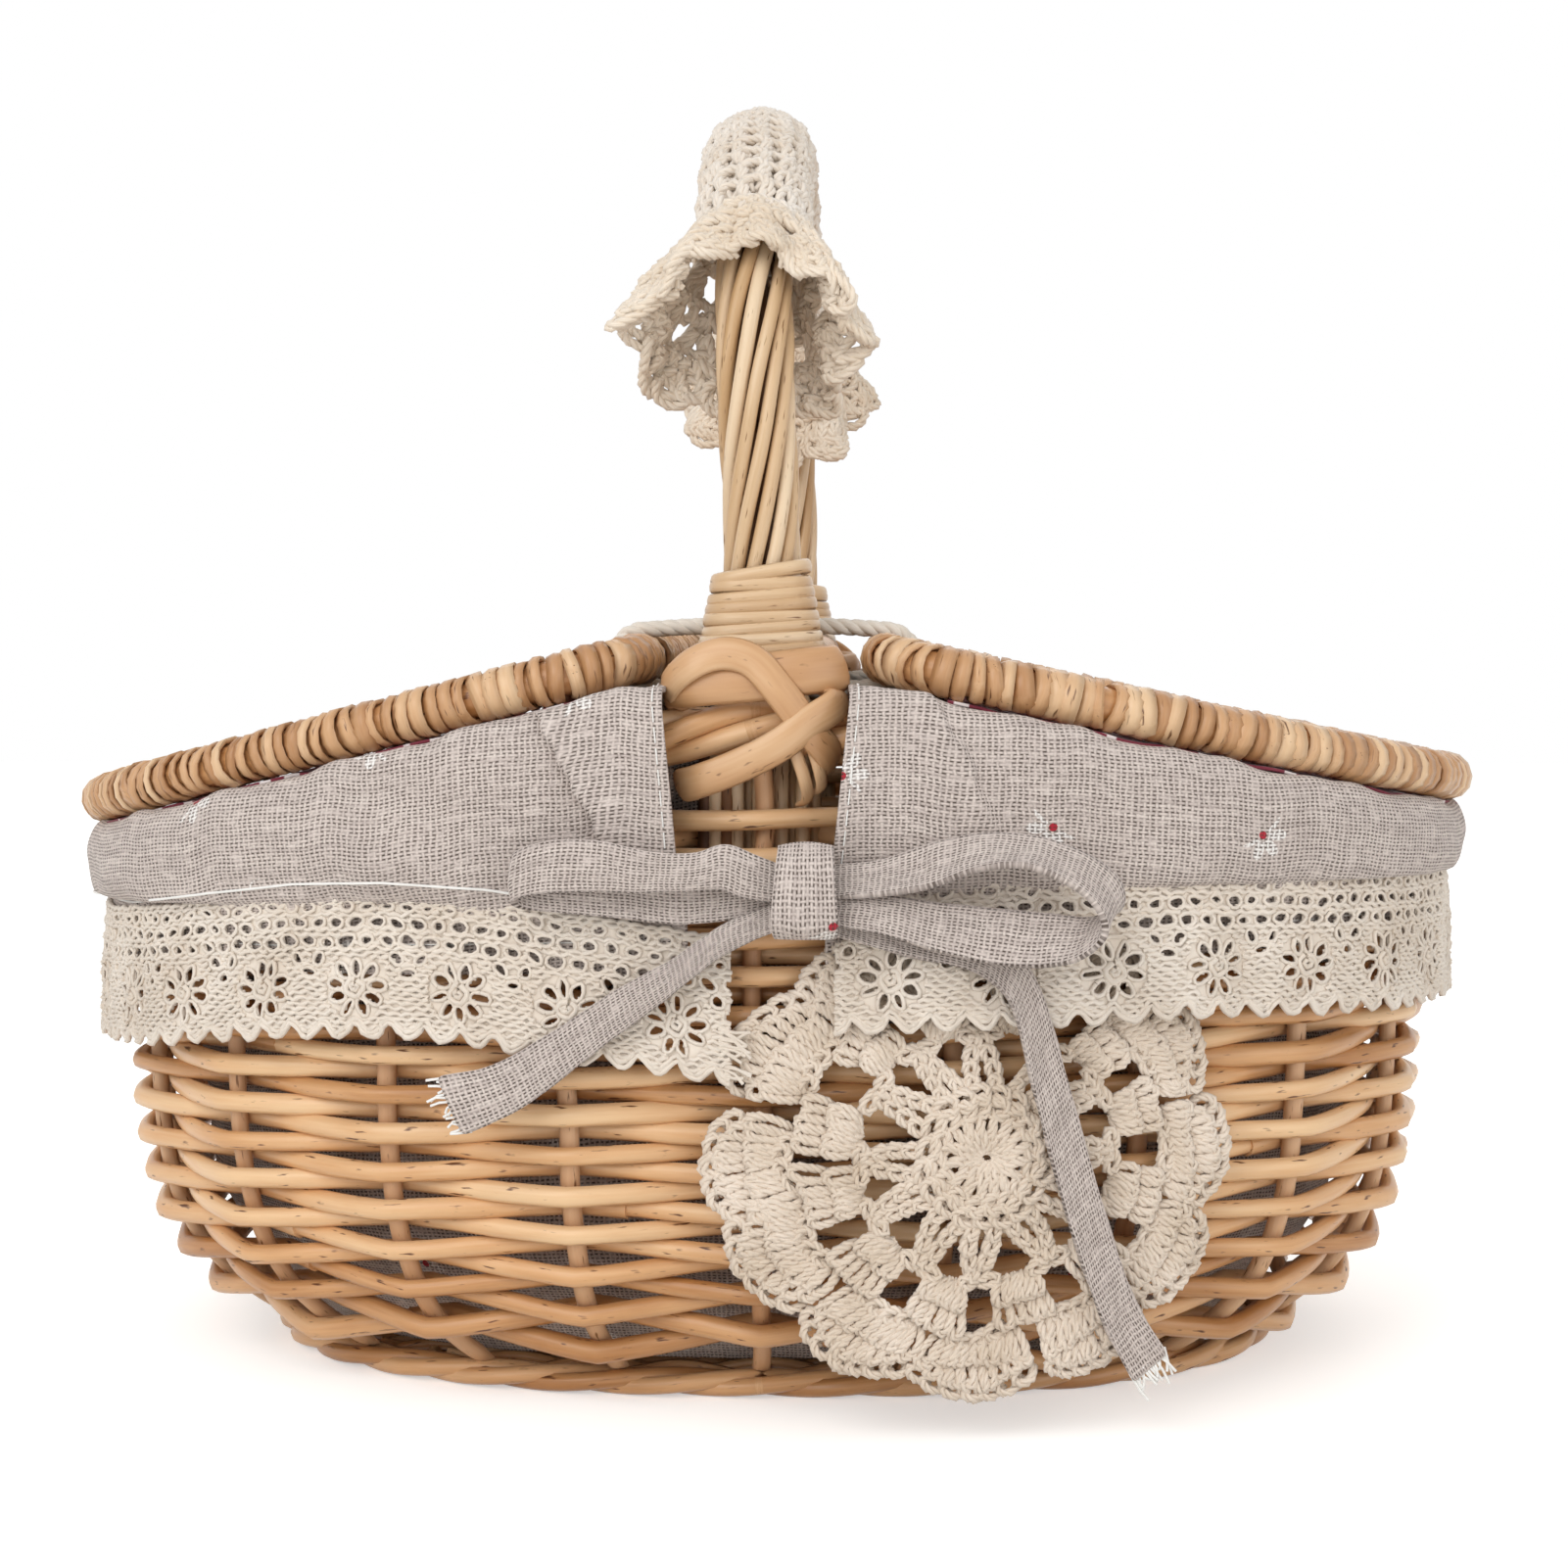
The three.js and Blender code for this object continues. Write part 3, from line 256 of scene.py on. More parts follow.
def strandMesh(name, strands):
    columns = {"points": [], "girth": [], "tone": [], "along": [], "face": []}
    edges = []
    start = 0
    for strand in strands:
        points = np.asarray(strand["points"], float)
        count = len(points)
        index = np.arange(start, start + count - 1)
        edges.append(np.stack([index, index + 1], 1))
        if strand.get("closed"):
            edges.append(np.array([[start + count - 1, start]]))
        columns["points"].append(points * mm)
        columns["girth"].append(np.broadcast_to(strand["girth"], count) * mm)
        columns["tone"].append(np.full(count, strand.get("tone", 0.5)))
        columns["along"].append(runOf(points) * mm)
        if "face" in strand:
            columns["face"].append(np.broadcast_to(strand["face"], (count, 3)))
        start += count
    mesh = bpy.data.meshes.new(name)
    edges = np.vstack(edges)
    mesh.vertices.add(start)
    mesh.vertices.foreach_set("co", np.vstack(columns["points"]).ravel())
    mesh.edges.add(len(edges))
    mesh.edges.foreach_set("vertices", edges.astype(np.int32).ravel())
    for label in ("girth", "tone", "along"):
        values = mesh.attributes.new(label, "FLOAT", "POINT")
        values.data.foreach_set("value", np.concatenate(columns[label]))
    if columns["face"]:
        values = mesh.attributes.new("face", "FLOAT_VECTOR", "POINT")
        values.data.foreach_set("vector", np.vstack(columns["face"]).ravel())
    return mesh


def newTree(name, **sockets):
    tree = bpy.data.node_groups.new(name, "GeometryNodeTree")
    for way in ("INPUT", "OUTPUT"):
        tree.interface.new_socket("Geometry", in_out=way, socket_type="NodeSocketGeometry")
    for label, kind in sockets.items():
        tree.interface.new_socket(label, in_out="INPUT", socket_type="NodeSocket" + kind)
    add = partial(addNode, tree)
    return tree, add, add("NodeGroupInput").outputs


def closeTree(tree, add, geometry, finish):
    soft = add("GeometryNodeSetShadeSmooth", {"Geometry": geometry})
    real = add("GeometryNodeRealizeInstances", {"Geometry": soft})
    add("NodeGroupOutput", {0: add("GeometryNodeSetMaterial", {"Geometry": real, "Material": finish})})
    return tree


def addProfile(add, sides, across, lean=0.0):  # a unit circle that knows the way round the rod
    circle = add("GeometryNodeCurvePrimitiveCircle", {"Resolution": sides, "Radius": 1.0})
    place = add("ShaderNodeSeparateXYZ", {0: add("GeometryNodeInputPosition")}).outputs
    ring = add("ShaderNodeCombineXYZ", {"Y": place["X"], "Z": place["Y"]})
    marked = add("GeometryNodeStoreNamedAttribute", {"Geometry": circle, "Name": "ring", "Value": ring},
                 data_type="FLOAT_VECTOR")
    return add("GeometryNodeTransform", {"Geometry": marked, "Scale": across, "Rotation": (0.0, 0.0, lean)})


# one tube along each strand, as thick as its girth and flat across its face
def makeRodTree():
    tree, add, given = newTree("rodSweep", Sides="Int", Flatness="Float", Finish="Material")
    curve = add("GeometryNodeMeshToCurve", {"Mesh": given["Geometry"]})
    face = add("GeometryNodeInputNamedAttribute", {"Name": "face"}, data_type="FLOAT_VECTOR")
    turned = add("GeometryNodeSetCurveNormal", {"Curve": curve, "Selection": face.outputs["Exists"], "Normal": face},
                 mode="FREE")
    across = add("ShaderNodeCombineXYZ", {"X": given["Flatness"], "Y": 1.0, "Z": 1.0})
    girth = add("GeometryNodeInputNamedAttribute", {"Name": "girth"}, data_type="FLOAT")
    profile = addProfile(add, given["Sides"], across)
    swept = add("GeometryNodeCurveToMesh", {"Curve": turned, "Profile Curve": profile, "Scale": girth,
                                            "Fill Caps": True})
    return closeTree(tree, add, swept, given["Finish"])


# flat turns wound close together round a core that follows each strand; lowest and highest tilt and size of a turn
winding = dict(steps=12, sides=5, lean=0.16, tilt=((-0.05, -0.14, 0.0), (0.32, 0.14, 6.283)),
               size=((0.95, 0.95, 0.7), (1.05, 1.05, 1.35)), sizeSeed=7, toneSeed=3)


def makeWindingTree():
    tree, add, given = newTree("skeinWinding", Pitch="Float", Radius="Float", Width="Float", Thickness="Float",
                               Seed="Int", Finish="Material")
    curve = add("GeometryNodeMeshToCurve", {"Mesh": given["Geometry"]})
    spots = add("GeometryNodeCurveToPoints", {"Curve": curve, "Length": given["Pitch"]}, mode="LENGTH")
    circle = add("GeometryNodeCurvePrimitiveCircle", {"Resolution": winding["steps"], "Radius": given["Radius"]})
    length = add("GeometryNodeSplineParameter").outputs["Length"]
    marked = add("GeometryNodeStoreNamedAttribute", {"Geometry": circle, "Name": "along", "Value": length})
    across = add("ShaderNodeCombineXYZ", {"X": given["Thickness"], "Y": given["Width"], "Z": 1.0})
    profile = addProfile(add, winding["sides"], across, winding["lean"])
    turn = add("GeometryNodeCurveToMesh", {"Curve": marked, "Profile Curve": profile, "Scale": 0.5})
    seeds = dict(tilt=given["Seed"], size=winding["sizeSeed"])
    tilt, size = [add("FunctionNodeRandomValue", {"Min": winding[key][0], "Max": winding[key][1], "Seed": seed},
                      data_type="FLOAT_VECTOR") for key, seed in seeds.items()]
    lean = add("FunctionNodeEulerToRotation", {0: tilt})
    pose = add("FunctionNodeRotateRotation", {0: spots.outputs["Rotation"], 1: lean}, rotation_space="LOCAL")
    turns = add("GeometryNodeInstanceOnPoints", {"Points": spots, "Instance": turn, "Rotation": pose, "Scale": size})
    tone = add("FunctionNodeRandomValue", {"Seed": winding["toneSeed"]}, data_type="FLOAT")
    toned = add("GeometryNodeStoreNamedAttribute", {"Geometry": turns, "Name": "tone", "Value": tone},
                domain="INSTANCE")
    return closeTree(tree, add, toned, given["Finish"])


# yarn or rope: plies that twist round each other along each strand
def makeYarnTree():
    tree, add, given = newTree("pliedYarn", Plies="Int", Sides="Int", Step="Float", Lay="Float", Spread="Float",
                               Ply="Float", Finish="Material")
    curve = add("GeometryNodeMeshToCurve", {"Mesh": given["Geometry"]})
    soft = add("GeometryNodeCurveSplineType", {"Curve": curve}, spline_type="CATMULL_ROM")
    even = add("GeometryNodeResampleCurve", {"Curve": soft, "Length": given["Step"]}, mode="LENGTH")
    plies = add("GeometryNodeDuplicateElements", {"Geometry": even, "Amount": given["Plies"]}, domain="SPLINE")
    length = add("GeometryNodeSplineParameter").outputs["Length"]
    girth = add("GeometryNodeInputNamedAttribute", {"Name": "girth"}, data_type="FLOAT")
    parts = ((plies.outputs["Duplicate Index"], "Plies", "DIVIDE"), (length, "Lay", "DIVIDE"),
             (girth, "Spread", "MULTIPLY"), (girth, "Ply", "MULTIPLY"))
    share, laid, out, thick = [add("ShaderNodeMath", {0: value, 1: given[key]}, operation=kind)
                               for value, key, kind in parts]
    turns = add("ShaderNodeMath", {0: share, 1: laid}, operation="ADD")
    angle = add("ShaderNodeMath", {0: turns, 1: 2 * math.pi}, operation="MULTIPLY")
    normal, tangent = add("GeometryNodeInputNormal"), add("GeometryNodeInputTangent")
    spin = add("ShaderNodeVectorRotate", {"Vector": normal, "Axis": tangent, "Angle": angle})
    offset = add("ShaderNodeVectorMath", {0: spin, "Scale": out}, operation="SCALE")
    placed = add("GeometryNodeSetPosition", {"Geometry": plies, "Offset": offset})
    profile = addProfile(add, given["Sides"], (1, 1, 1))
    swept = add("GeometryNodeCurveToMesh", {"Curve": placed, "Profile Curve": profile, "Scale": thick,
                                            "Fill Caps": True})
    return closeTree(tree, add, swept, given["Finish"])


rodTree = makeRodTree()
windingTree = makeWindingTree()
yarnTree = makeYarnTree()


def baked(thing, name):  # the mesh that an object's modifiers make
    mesh = bpy.data.meshes.new_from_object(thing.evaluated_get(bpy.context.evaluated_depsgraph_get()))
    mesh.name = name
    bpy.data.objects.remove(thing)
    return mesh


def addPiece(name, mesh, body, replaced=()):
    piece = bpy.data.objects.new(name, mesh)
    scene.collection.objects.link(piece)
    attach(piece, body)
    if replaced:
        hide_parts(*replaced)
    return piece


# a willow piece of the basket, swept as round rods with nine sides, if nothing else is said
def grow(name, strands, finish, replaced=(), slot="willow", body="basket", tree=rodTree, **values):
    values = dict(dict(Sides=9, Flatness=1.0, Finish=finish), **values)
    seed = bpy.data.objects.new(name + "Seed", strandMesh(name + "Seed", strands))
    scene.collection.objects.link(seed)
    modifier = seed.modifiers.new("grow", "NODES")
    modifier.node_group = tree
    for item in tree.interface.items_tree:
        if item.in_out == "INPUT" and item.name in values:
            modifier[item.identifier] = values[item.name]
    return addPiece(name, baked(seed, name), body, replaced)


# the basket's form, in millimetres as in the part's source

form = dict(planPower=2.5, wallSwell=5.5, rimPeak=155.0, slopeLeft=14.4, slopeRight=12.0, peakRound=20.0,
            footWidth=10.0, wallFoot=6.8, borderRadius=6.5, seat=0.3, stakes=21, roundSteps=420)
rimLow, rimHigh = (np.array(corner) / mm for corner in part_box("rim_border"))
footLow, footHigh = (np.array(corner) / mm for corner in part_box("foot_wale"))
rimHalf = (rimHigh - rimLow)[:2] / 2 - form["borderRadius"]
baseHalf = (footHigh - footLow)[:2] / 2 - form["footWidth"] / 2


def planPoint(angle, half):
    x, y = squared(angle, 2 / form["planPower"])
    return half[0] * x, half[1] * y


def borderHeight(x):
    slope = np.tan(np.radians(np.where(np.asarray(x) < 0, form["slopeLeft"], form["slopeRight"])))
    return form["rimPeak"] - slope * (np.hypot(x, form["peakRound"]) - form["peakRound"])


def wallTop(x):
    return borderHeight(x) - form["borderRadius"] - form["seat"]


lowestTop = float(min(wallTop(-rimHalf[0]), wallTop(rimHalf[0])))


def wallPoint(angle, height):
    angle, height = np.broadcast_arrays(np.asarray(angle, float), np.asarray(height, float))
    rise = np.maximum(wallTop(planPoint(angle, rimHalf)[0]) - lowestTop, 1e-6)
    level = lowestTop - form["wallFoot"]
    above = np.maximum(height - form["wallFoot"], 0)
    share = (np.sqrt(level ** 2 + 4 * rise * above) - level) / (2 * rise)
    swell = 1 - np.maximum(0, 1 - share) ** form["wallSwell"]
    half = [baseHalf[k] + (rimHalf[k] - baseHalf[k]) * swell for k in (0, 1)]
    return np.stack([*planPoint(angle, half), height], -1)


def wallNormal(angle, height):
    along = wallPoint(np.asarray(angle) + 1e-3, height) - wallPoint(np.asarray(angle) - 1e-3, height)
    up = wallPoint(angle, np.asarray(height) + 0.4) - wallPoint(angle, np.maximum(np.asarray(height) - 0.4, 6.4))
    return unit(np.cross(along, up))


fineAngles = np.linspace(-math.pi / 2, 1.5 * math.pi, 2881)
rimRun = runOf(np.stack(planPoint(fineAngles, rimHalf), 1))


def angleAt(share):  # share of the rim's length, from the front middle
    return np.interp(np.mod(share, 1) * rimRun[-1], rimRun, fineAngles)


# wall: randed weavers, in front of one stake and behind the next, each rod tapering from butt to tip

# a rod spans two stakes for each of its lengths; the rows lean a little, from leanFrom up; waves: length and reach
weave = dict(pitchHigh=4.3, pitchLow=5.3, opening=4.0, firstRow=4.2, butt=2.6, tip=2.15, reach=4.4, kink=0.997,
             lean=0.012, leanFrom=12, leanOver=40, lengths=(6, 9), lap=0.35, steps=10, seed=11, slitFrom=121.0,
             slitOver=4, slitBack=8.5, slitHalf=26, slitSide=12, bowWaves=(90, 0.25), levelWaves=(130, 0.35),
             girthWaves=(60, 0.06))
stakes = dict(girth=2.2, steps=26, bunch=1.4, below=2, above=3, seed=5)


def rowHeight(turns):
    extra = weave["pitchLow"] - weave["pitchHigh"]
    settled = weave["opening"] * (1 - np.exp(-turns / weave["opening"]))
    return form["wallFoot"] + weave["firstRow"] + weave["pitchHigh"] * turns + extra * settled


def makeWall():
    rng = random.Random(weave["seed"])
    count = form["stakes"]
    turnsNeeded = (form["rimPeak"] - form["wallFoot"]) / weave["pitchHigh"]
    places = np.arange(0, turnsNeeded * count, 1 / weave["steps"])
    angle = angleAt(places / count)
    height = rowHeight(places / count)
    x = wallPoint(angle, height)[:, 0]
    height = height + weave["lean"] * x * smooth((height - weave["leanFrom"]) / weave["leanOver"])
    room = height < wallTop(x) - weave["butt"]
    strands = []
    start = 1  # rods begin and end on the inside of a stake
    while start < places[-1] - 4:
        end = start + 2 * rng.randint(*weave["lengths"])
        for piece in stretches(np.where((places >= start - weave["lap"]) & (places <= end + weave["lap"]) & room)[0]):
            if len(piece) < 2 * weave["steps"]:
                continue
            k = places[piece]
            run = k * rimRun[-1] / count
            sway = np.cos(math.pi * k)
            bow = weave["reach"] * np.arcsin(weave["kink"] * sway) / math.asin(weave["kink"])
            # under the handle the inner weavers pass behind its rods
            beside = np.abs(np.mod(k / count + 0.5, 1) - 0.5) * rimRun[-1]
            beside = np.minimum(beside, np.abs(np.mod(k / count, 1) - 0.5) * rimRun[-1])
            deep = smooth((weave["slitHalf"] - beside) / weave["slitSide"])
            deep = deep * smooth((height[piece] - weave["slitFrom"]) / weave["slitOver"])
            bow = np.where(sway < 0, bow - weave["slitBack"] * deep, bow)
            bow = bow + wander(rng, run, *weave["bowWaves"])
            level = height[piece] + wander(rng, run, *weave["levelWaves"])
            points = wallPoint(angle[piece], level) + wallNormal(angle[piece], level) * bow[:, None]
            taper = np.linspace(*((0, 1) if rng.random() < 0.5 else (1, 0)), len(piece))
            thick = (weave["butt"] + (weave["tip"] - weave["butt"]) * taper) * rng.uniform(0.95, 1.05)
            thick = thick + wander(rng, run, *weave["girthWaves"])
            strands.append(dict(points=points, girth=thick, tone=rng.random()))
        start = end
    grow("side_weave", strands, buffWillow, ["side_weaver_1", "side_weaver_2", "side_weaver_3"], Flatness=0.97)

    rng = random.Random(stakes["seed"])
    strands = []
    for i in range(count):
        spot = angleAt(i / count)
        top = float(wallTop(planPoint(spot, rimHalf)[0]))
        share = np.linspace(0, 1, stakes["steps"]) ** stakes["bunch"]
        level = form["wallFoot"] - stakes["below"] + share * (top + stakes["above"] - form["wallFoot"])
        turn = spot + wander(rng, level, 90, 0.004)
        strands.append(dict(points=wallPoint(turn, level), girth=stakes["girth"] * rng.uniform(0.95, 1.08),
                            tone=rng.random(), face=wallNormal(turn, level)))
    grow("stakes", strands, stakeWillow, [f"stake_{i + 1:02d}" for i in range(count)], slot="peeled_willow",
         Flatness=0.86)


makeWall()
print("hamper: wall woven")


# foot: three waling rods twisted round each other, and the mat of sticks and weave inside them

wale = dict(rods=3, girth=2.15, outReach=2.75, upReach=1.05, centre=3.25, twist=62.0, seed=3)
mat = dict(stickGap=20.0, stickGirth=1.5, weaverPitch=3.7, weaverGirth=1.45, centre=3.7, sway=1.5, inset=6.0,
           step=2.5, seed=8)


def planOut(angle, half):
    ahead = np.stack(planPoint(angle + 1e-3, half), -1) - np.stack(planPoint(angle - 1e-3, half), -1)
    return unit(np.stack([ahead[..., 1], -ahead[..., 0]], -1))


def twisted(rng, count, half, heightAt, outReach, upReach, twist, girth):  # closed rods round a plan line
    angles = angleAt(np.arange(form["roundSteps"]) / form["roundSteps"])
    height = heightAt(planPoint(angles, half)[0])
    flat = np.stack(planPoint(angles, half), -1)
    run = runOf(np.vstack([flat, flat[:1]]))
    turns = round(run[-1] / twist)
    out = planOut(angles, half)
    strands = []
    for i in range(count):
        phase = 2 * math.pi * (turns * run[:-1] / run[-1] + i / count)
        reach = outReach * np.cos(phase)
        points = np.column_stack([flat + out * reach[:, None], height + upReach * np.sin(phase)])
        strands.append(dict(points=points, girth=girth * rng.uniform(0.94, 1.04), tone=rng.random(), closed=True))
    return strands


def makeFoot():
    rng = random.Random(wale["seed"])
    strands = twisted(rng, wale["rods"], baseHalf, lambda x: wale["centre"], wale["outReach"], wale["upReach"],
                      wale["twist"], wale["girth"])
    grow("foot_waling", strands, buffWillow, ["foot_wale"])

    rng = random.Random(mat["seed"])
    half = baseHalf - mat["inset"]
    reachAt = lambda share, size: size * (1 - min(1, abs(share)) ** form["planPower"]) ** (1 / form["planPower"])
    strands = []
    lines = int(half[0] / mat["stickGap"])
    for i in range(-lines, lines + 1):
        x = i * mat["stickGap"]
        far = reachAt(x / half[0], half[1])
        strands.append(dict(points=[(x, y, mat["centre"]) for y in (-far, 0, far)], girth=mat["stickGirth"],
                            tone=rng.random()))
    rows = int(half[1] / mat["weaverPitch"])
    for j in range(-rows, rows + 1):
        y = j * mat["weaverPitch"]
        far = reachAt(y / half[1], half[0])
        x = np.arange(-far, far, mat["step"])
        sway = mat["sway"] * np.cos(math.pi * (x / mat["stickGap"] + j))
        points = np.column_stack([x, y + wander(rng, x, 80, 0.2), mat["centre"] + sway])
        strands.append(dict(points=points, girth=mat["weaverGirth"] * rng.uniform(0.92, 1.05), tone=rng.random()))
    grow("base_weave", strands, buffWillow, ["base_mat"], Sides=6)


# border: rods rolled along the rim over the stake tops

border = dict(rods=4, orbit=3.7, girth=2.65, twist=84.0, seed=21)


def makeBorder():
    rng = random.Random(border["seed"])
    strands = twisted(rng, border["rods"], rimHalf, borderHeight, border["orbit"], border["orbit"], border["twist"],
                      border["girth"])
    grow("rolled_border", strands, buffWillow, ["rim_border"])


# handle: peeled rods twisted into an arch, their ends spread flat into the wall under the border

handle = dict(rods=11, orbit=7.0, girth=1.66, core=3, coreOrbit=1.7, twist=180.0, top=295.0, lean=-3.2, spring=222.0,
              leanFrom=185, leanOver=120, foot=118.0, steps=220, spreadFrom=169.0, spreadOver=18.0, spreadHalf=12.0,
              fanBack=7, fanLow=4.5, fanLowFrom=150, fanLowOver=12, fanLayer=3.6, radius=9.0, clear=1.0,
              orbitWaves=(120, 0.35), turnWaves=(150, 0.1), girthWaves=(70, 0.08), seed=4)
handleReach = rimHalf[1] - form["borderRadius"] - handle["radius"] - form["seat"] - handle["clear"]
collar = dict(foot=170.5, height=17.0, turns=7, footRadius=14.5, topRadius=11.2, halfWidth=1.5, flatness=0.42,
              square=3.0, rise=0.7, crossing=1.9, lastUp=1.2, tilt=0.12, steps=64, seed=6)


def handleLine():
    turn = np.linspace(-math.pi / 2, math.pi / 2, 181)
    arch = np.column_stack([0 * turn, handleReach * np.sin(turn),
                            handle["spring"] + (handle["top"] - handle["spring"]) * np.cos(turn)])
    leg = np.linspace(handle["foot"], handle["spring"], 60, endpoint=False)
    front = np.column_stack([0 * leg, 0 * leg - handleReach, leg])
    line = np.vstack([front, arch, (front * [1, -1, 1])[::-1]])
    # it leans a little to the left
    line[:, 0] = handle["lean"] * smooth((line[:, 2] - handle["leanFrom"]) / handle["leanOver"])
    return line


archLine = handleLine()
archRun = runOf(archLine)
archRun = archRun - archRun[-1] / 2


def handleAt(length):  # centre and outward direction, by length from the top
    length = np.asarray(length, float)
    before, centre, after = [np.stack([np.interp(length + step, archRun, archLine[:, k]) for k in range(3)], -1)
                             for step in (-0.5, 0, 0.5)]
    return centre, np.cross(np.array([1.0, 0, 0]), unit(after - before))


def makeHandle():
    rng = random.Random(handle["seed"])
    length = np.linspace(archRun[0], archRun[-1], handle["steps"])
    centre, out = handleAt(length)
    strands, hidden = [], []
    for i in range(handle["rods"] + handle["core"]):
        inner = i >= handle["rods"]
        count = handle["core"] if inner else handle["rods"]
        orbit = (handle["coreOrbit"] if inner else handle["orbit"]) + wander(rng, length, *handle["orbitWaves"])
        angle = -2 * math.pi * length / handle["twist"] + 2 * math.pi * (i % handle["rods"]) / count
        angle = angle + wander(rng, length, *handle["turnWaves"])
        points = centre + out * (orbit * np.sin(angle))[:, None]
        points[:, 0] += orbit * np.cos(angle)
        # below the collar the rods fan out side by side
        side = np.sign(points[:, 1])
        fan = smooth((handle["spreadFrom"] - points[:, 2]) / handle["spreadOver"])
        slot = (i % handle["rods"]) / (handle["rods"] - 1) * 2 - 1
        low = smooth((handle["fanLowFrom"] - points[:, 2]) / handle["fanLowOver"])
        back = handleReach + handle["fanBack"] + handle["fanLow"] * low - (0 if i % 2 else handle["fanLayer"])
        points[:, 0] += fan * (handle["spreadHalf"] * slot - points[:, 0])
        points[:, 1] += fan * (side * back - points[:, 1])
        thick = handle["girth"] * rng.uniform(0.92, 1.06) + wander(rng, length, *handle["girthWaves"])
        rod = dict(points=points, girth=thick, tone=rng.random())
        (hidden if inner else strands).append(rod)
    grow("twisted_handle", strands, peeledWillow, ["handle_rods"], slot="peeled_willow", Sides=10)
    # the core rods take the dark willow: painted shade in the gaps of the handle
    grow("handle_core", hidden, coreShadeWillow, slot="peeled_willow", Sides=6)


def makeCollars():
    for name, side in (("front", -1), ("back", 1)):
        rng = random.Random(collar["seed"])
        strands = []
        angle = np.linspace(0, 2 * math.pi, collar["steps"], endpoint=False)
        flat = np.column_stack(squared(angle, 2 / collar["square"]))
        face = np.column_stack([np.cos(angle), np.sin(angle), collar["tilt"] + 0 * angle])
        for i in range(collar["turns"] + 1):
            share = min(1, (i + 0.5) / collar["turns"])
            radius = collar["footRadius"] + (collar["topRadius"] - collar["footRadius"]) * share
            radius = radius - collar["halfWidth"] * collar["flatness"] + rng.uniform(-0.25, 0.25)
            rise = collar["rise"] if i < collar["turns"] else collar["crossing"]  # the last turn crosses the top
            rise = rise + rng.uniform(-0.5, 0.5)
            level = collar["foot"] + collar["height"] * share + rise * flat[:, 0] * -side + rng.uniform(-0.2, 0.2)
            level = level + (collar["lastUp"] if i == collar["turns"] else 0)
            points = np.column_stack([radius * flat[:, 0], side * handleReach + radius * flat[:, 1], level])
            strands.append(dict(points=points, girth=collar["halfWidth"] * rng.uniform(0.92, 1.08),
                                tone=0.45 + 0.5 * rng.random(), closed=True, face=face))
        grow(f"skein_collar_{name}", strands, paleWillow, [f"handle_collar_{name}"], slot="peeled_willow", Sides=8,
             Flatness=collar["flatness"])


# lashing: split rods that cross over the border and tie the handle down
# each band: half width, half thickness share, then points x, out from the border's axis, height

lashing = [
    (5.2, 0.34, [(-15, -6, 163.5), (-19, 1, 164.3), (-13, 6.3, 165.0), (0, 7.4, 166.2), (11, 6.9, 167.6),
                 (17.6, 2.5, 168.2), (15, -5, 168.6)]),
    (3.7, 0.36, [(-14, -5, 160.5), (-19.3, 2.5, 163.2), (-15, 7.6, 168.4), (-8, 8.4, 171.3), (-1, 9.0, 169.8),
                 (5, 10.2, 163.4), (10.5, 10.0, 156.0), (15.5, 7.0, 150.0), (16, 1, 146.5)]),
    (3.7, 0.38, [(13, 0, 164.5), (17.6, 6.5, 161.2), (11.5, 10.2, 156.6), (4, 11.6, 151.2), (-5, 10.6, 146.8),
                 (-12.5, 8.4, 143.9), (-16.5, 3.5, 142.6), (-14, -3, 142.2)]),
    (1.5, 0.5, [(9, 3, 160.0), (10.3, 7.8, 156.2), (13.2, 7.6, 147.2), (13.8, 4.5, 142.6), (12, 0, 141.0)]),
    (1.5, 0.5, [(6, 3, 158.0), (7.4, 8.0, 153.0), (10.2, 7.8, 144.6), (10.8, 4.5, 140.2), (9, 0, 138.4)]),
]
# the bands face away from the point at depth and height; flat holds their faces level, their ends narrow over taper
lashed = dict(steps=60, depth=14, height=156.0, flat=0.35, taper=5, endWidth=0.55, tone=0.35, toneStep=0.1)


def makeLashing():
    for name, turn in (("front", 1), ("back", -1)):
        spin = np.array([turn, turn, 1])
        for i, (half, flatness, route) in enumerate(lashing):
            line = curveThrough(route, lashed["steps"])
            points = np.column_stack([line[:, 0], -rimHalf[1] - line[:, 1], line[:, 2]])
            ahead = unit(np.gradient(points, axis=0))
            outwards = points - np.array([0, -rimHalf[1] + lashed["depth"], lashed["height"]])
            outwards[:, 2] *= lashed["flat"]
            face = unit(outwards - ahead * np.sum(outwards * ahead, axis=1, keepdims=True))
            place = np.arange(lashed["steps"])
            ends = smooth(np.minimum(place, place[::-1]) / lashed["taper"] + lashed["endWidth"])
            strand = dict(points=points * spin, girth=half * ends, tone=lashed["tone"] + lashed["toneStep"] * i,
                          face=face * spin)
            grow(f"lashing_band_{name}_{i + 1}", [strand], splitWillow, [f"lashing_{name}"] if i == 0 else (),
                 Sides=12, Flatness=flatness)


makeFoot()
makeBorder()
makeHandle()
makeCollars()
makeLashing()
print("hamper: foot, border, handle and lashing made")


# lids: a hoop wound with skein, a woven panel and a printed lining; the cords hinge them to the bridge

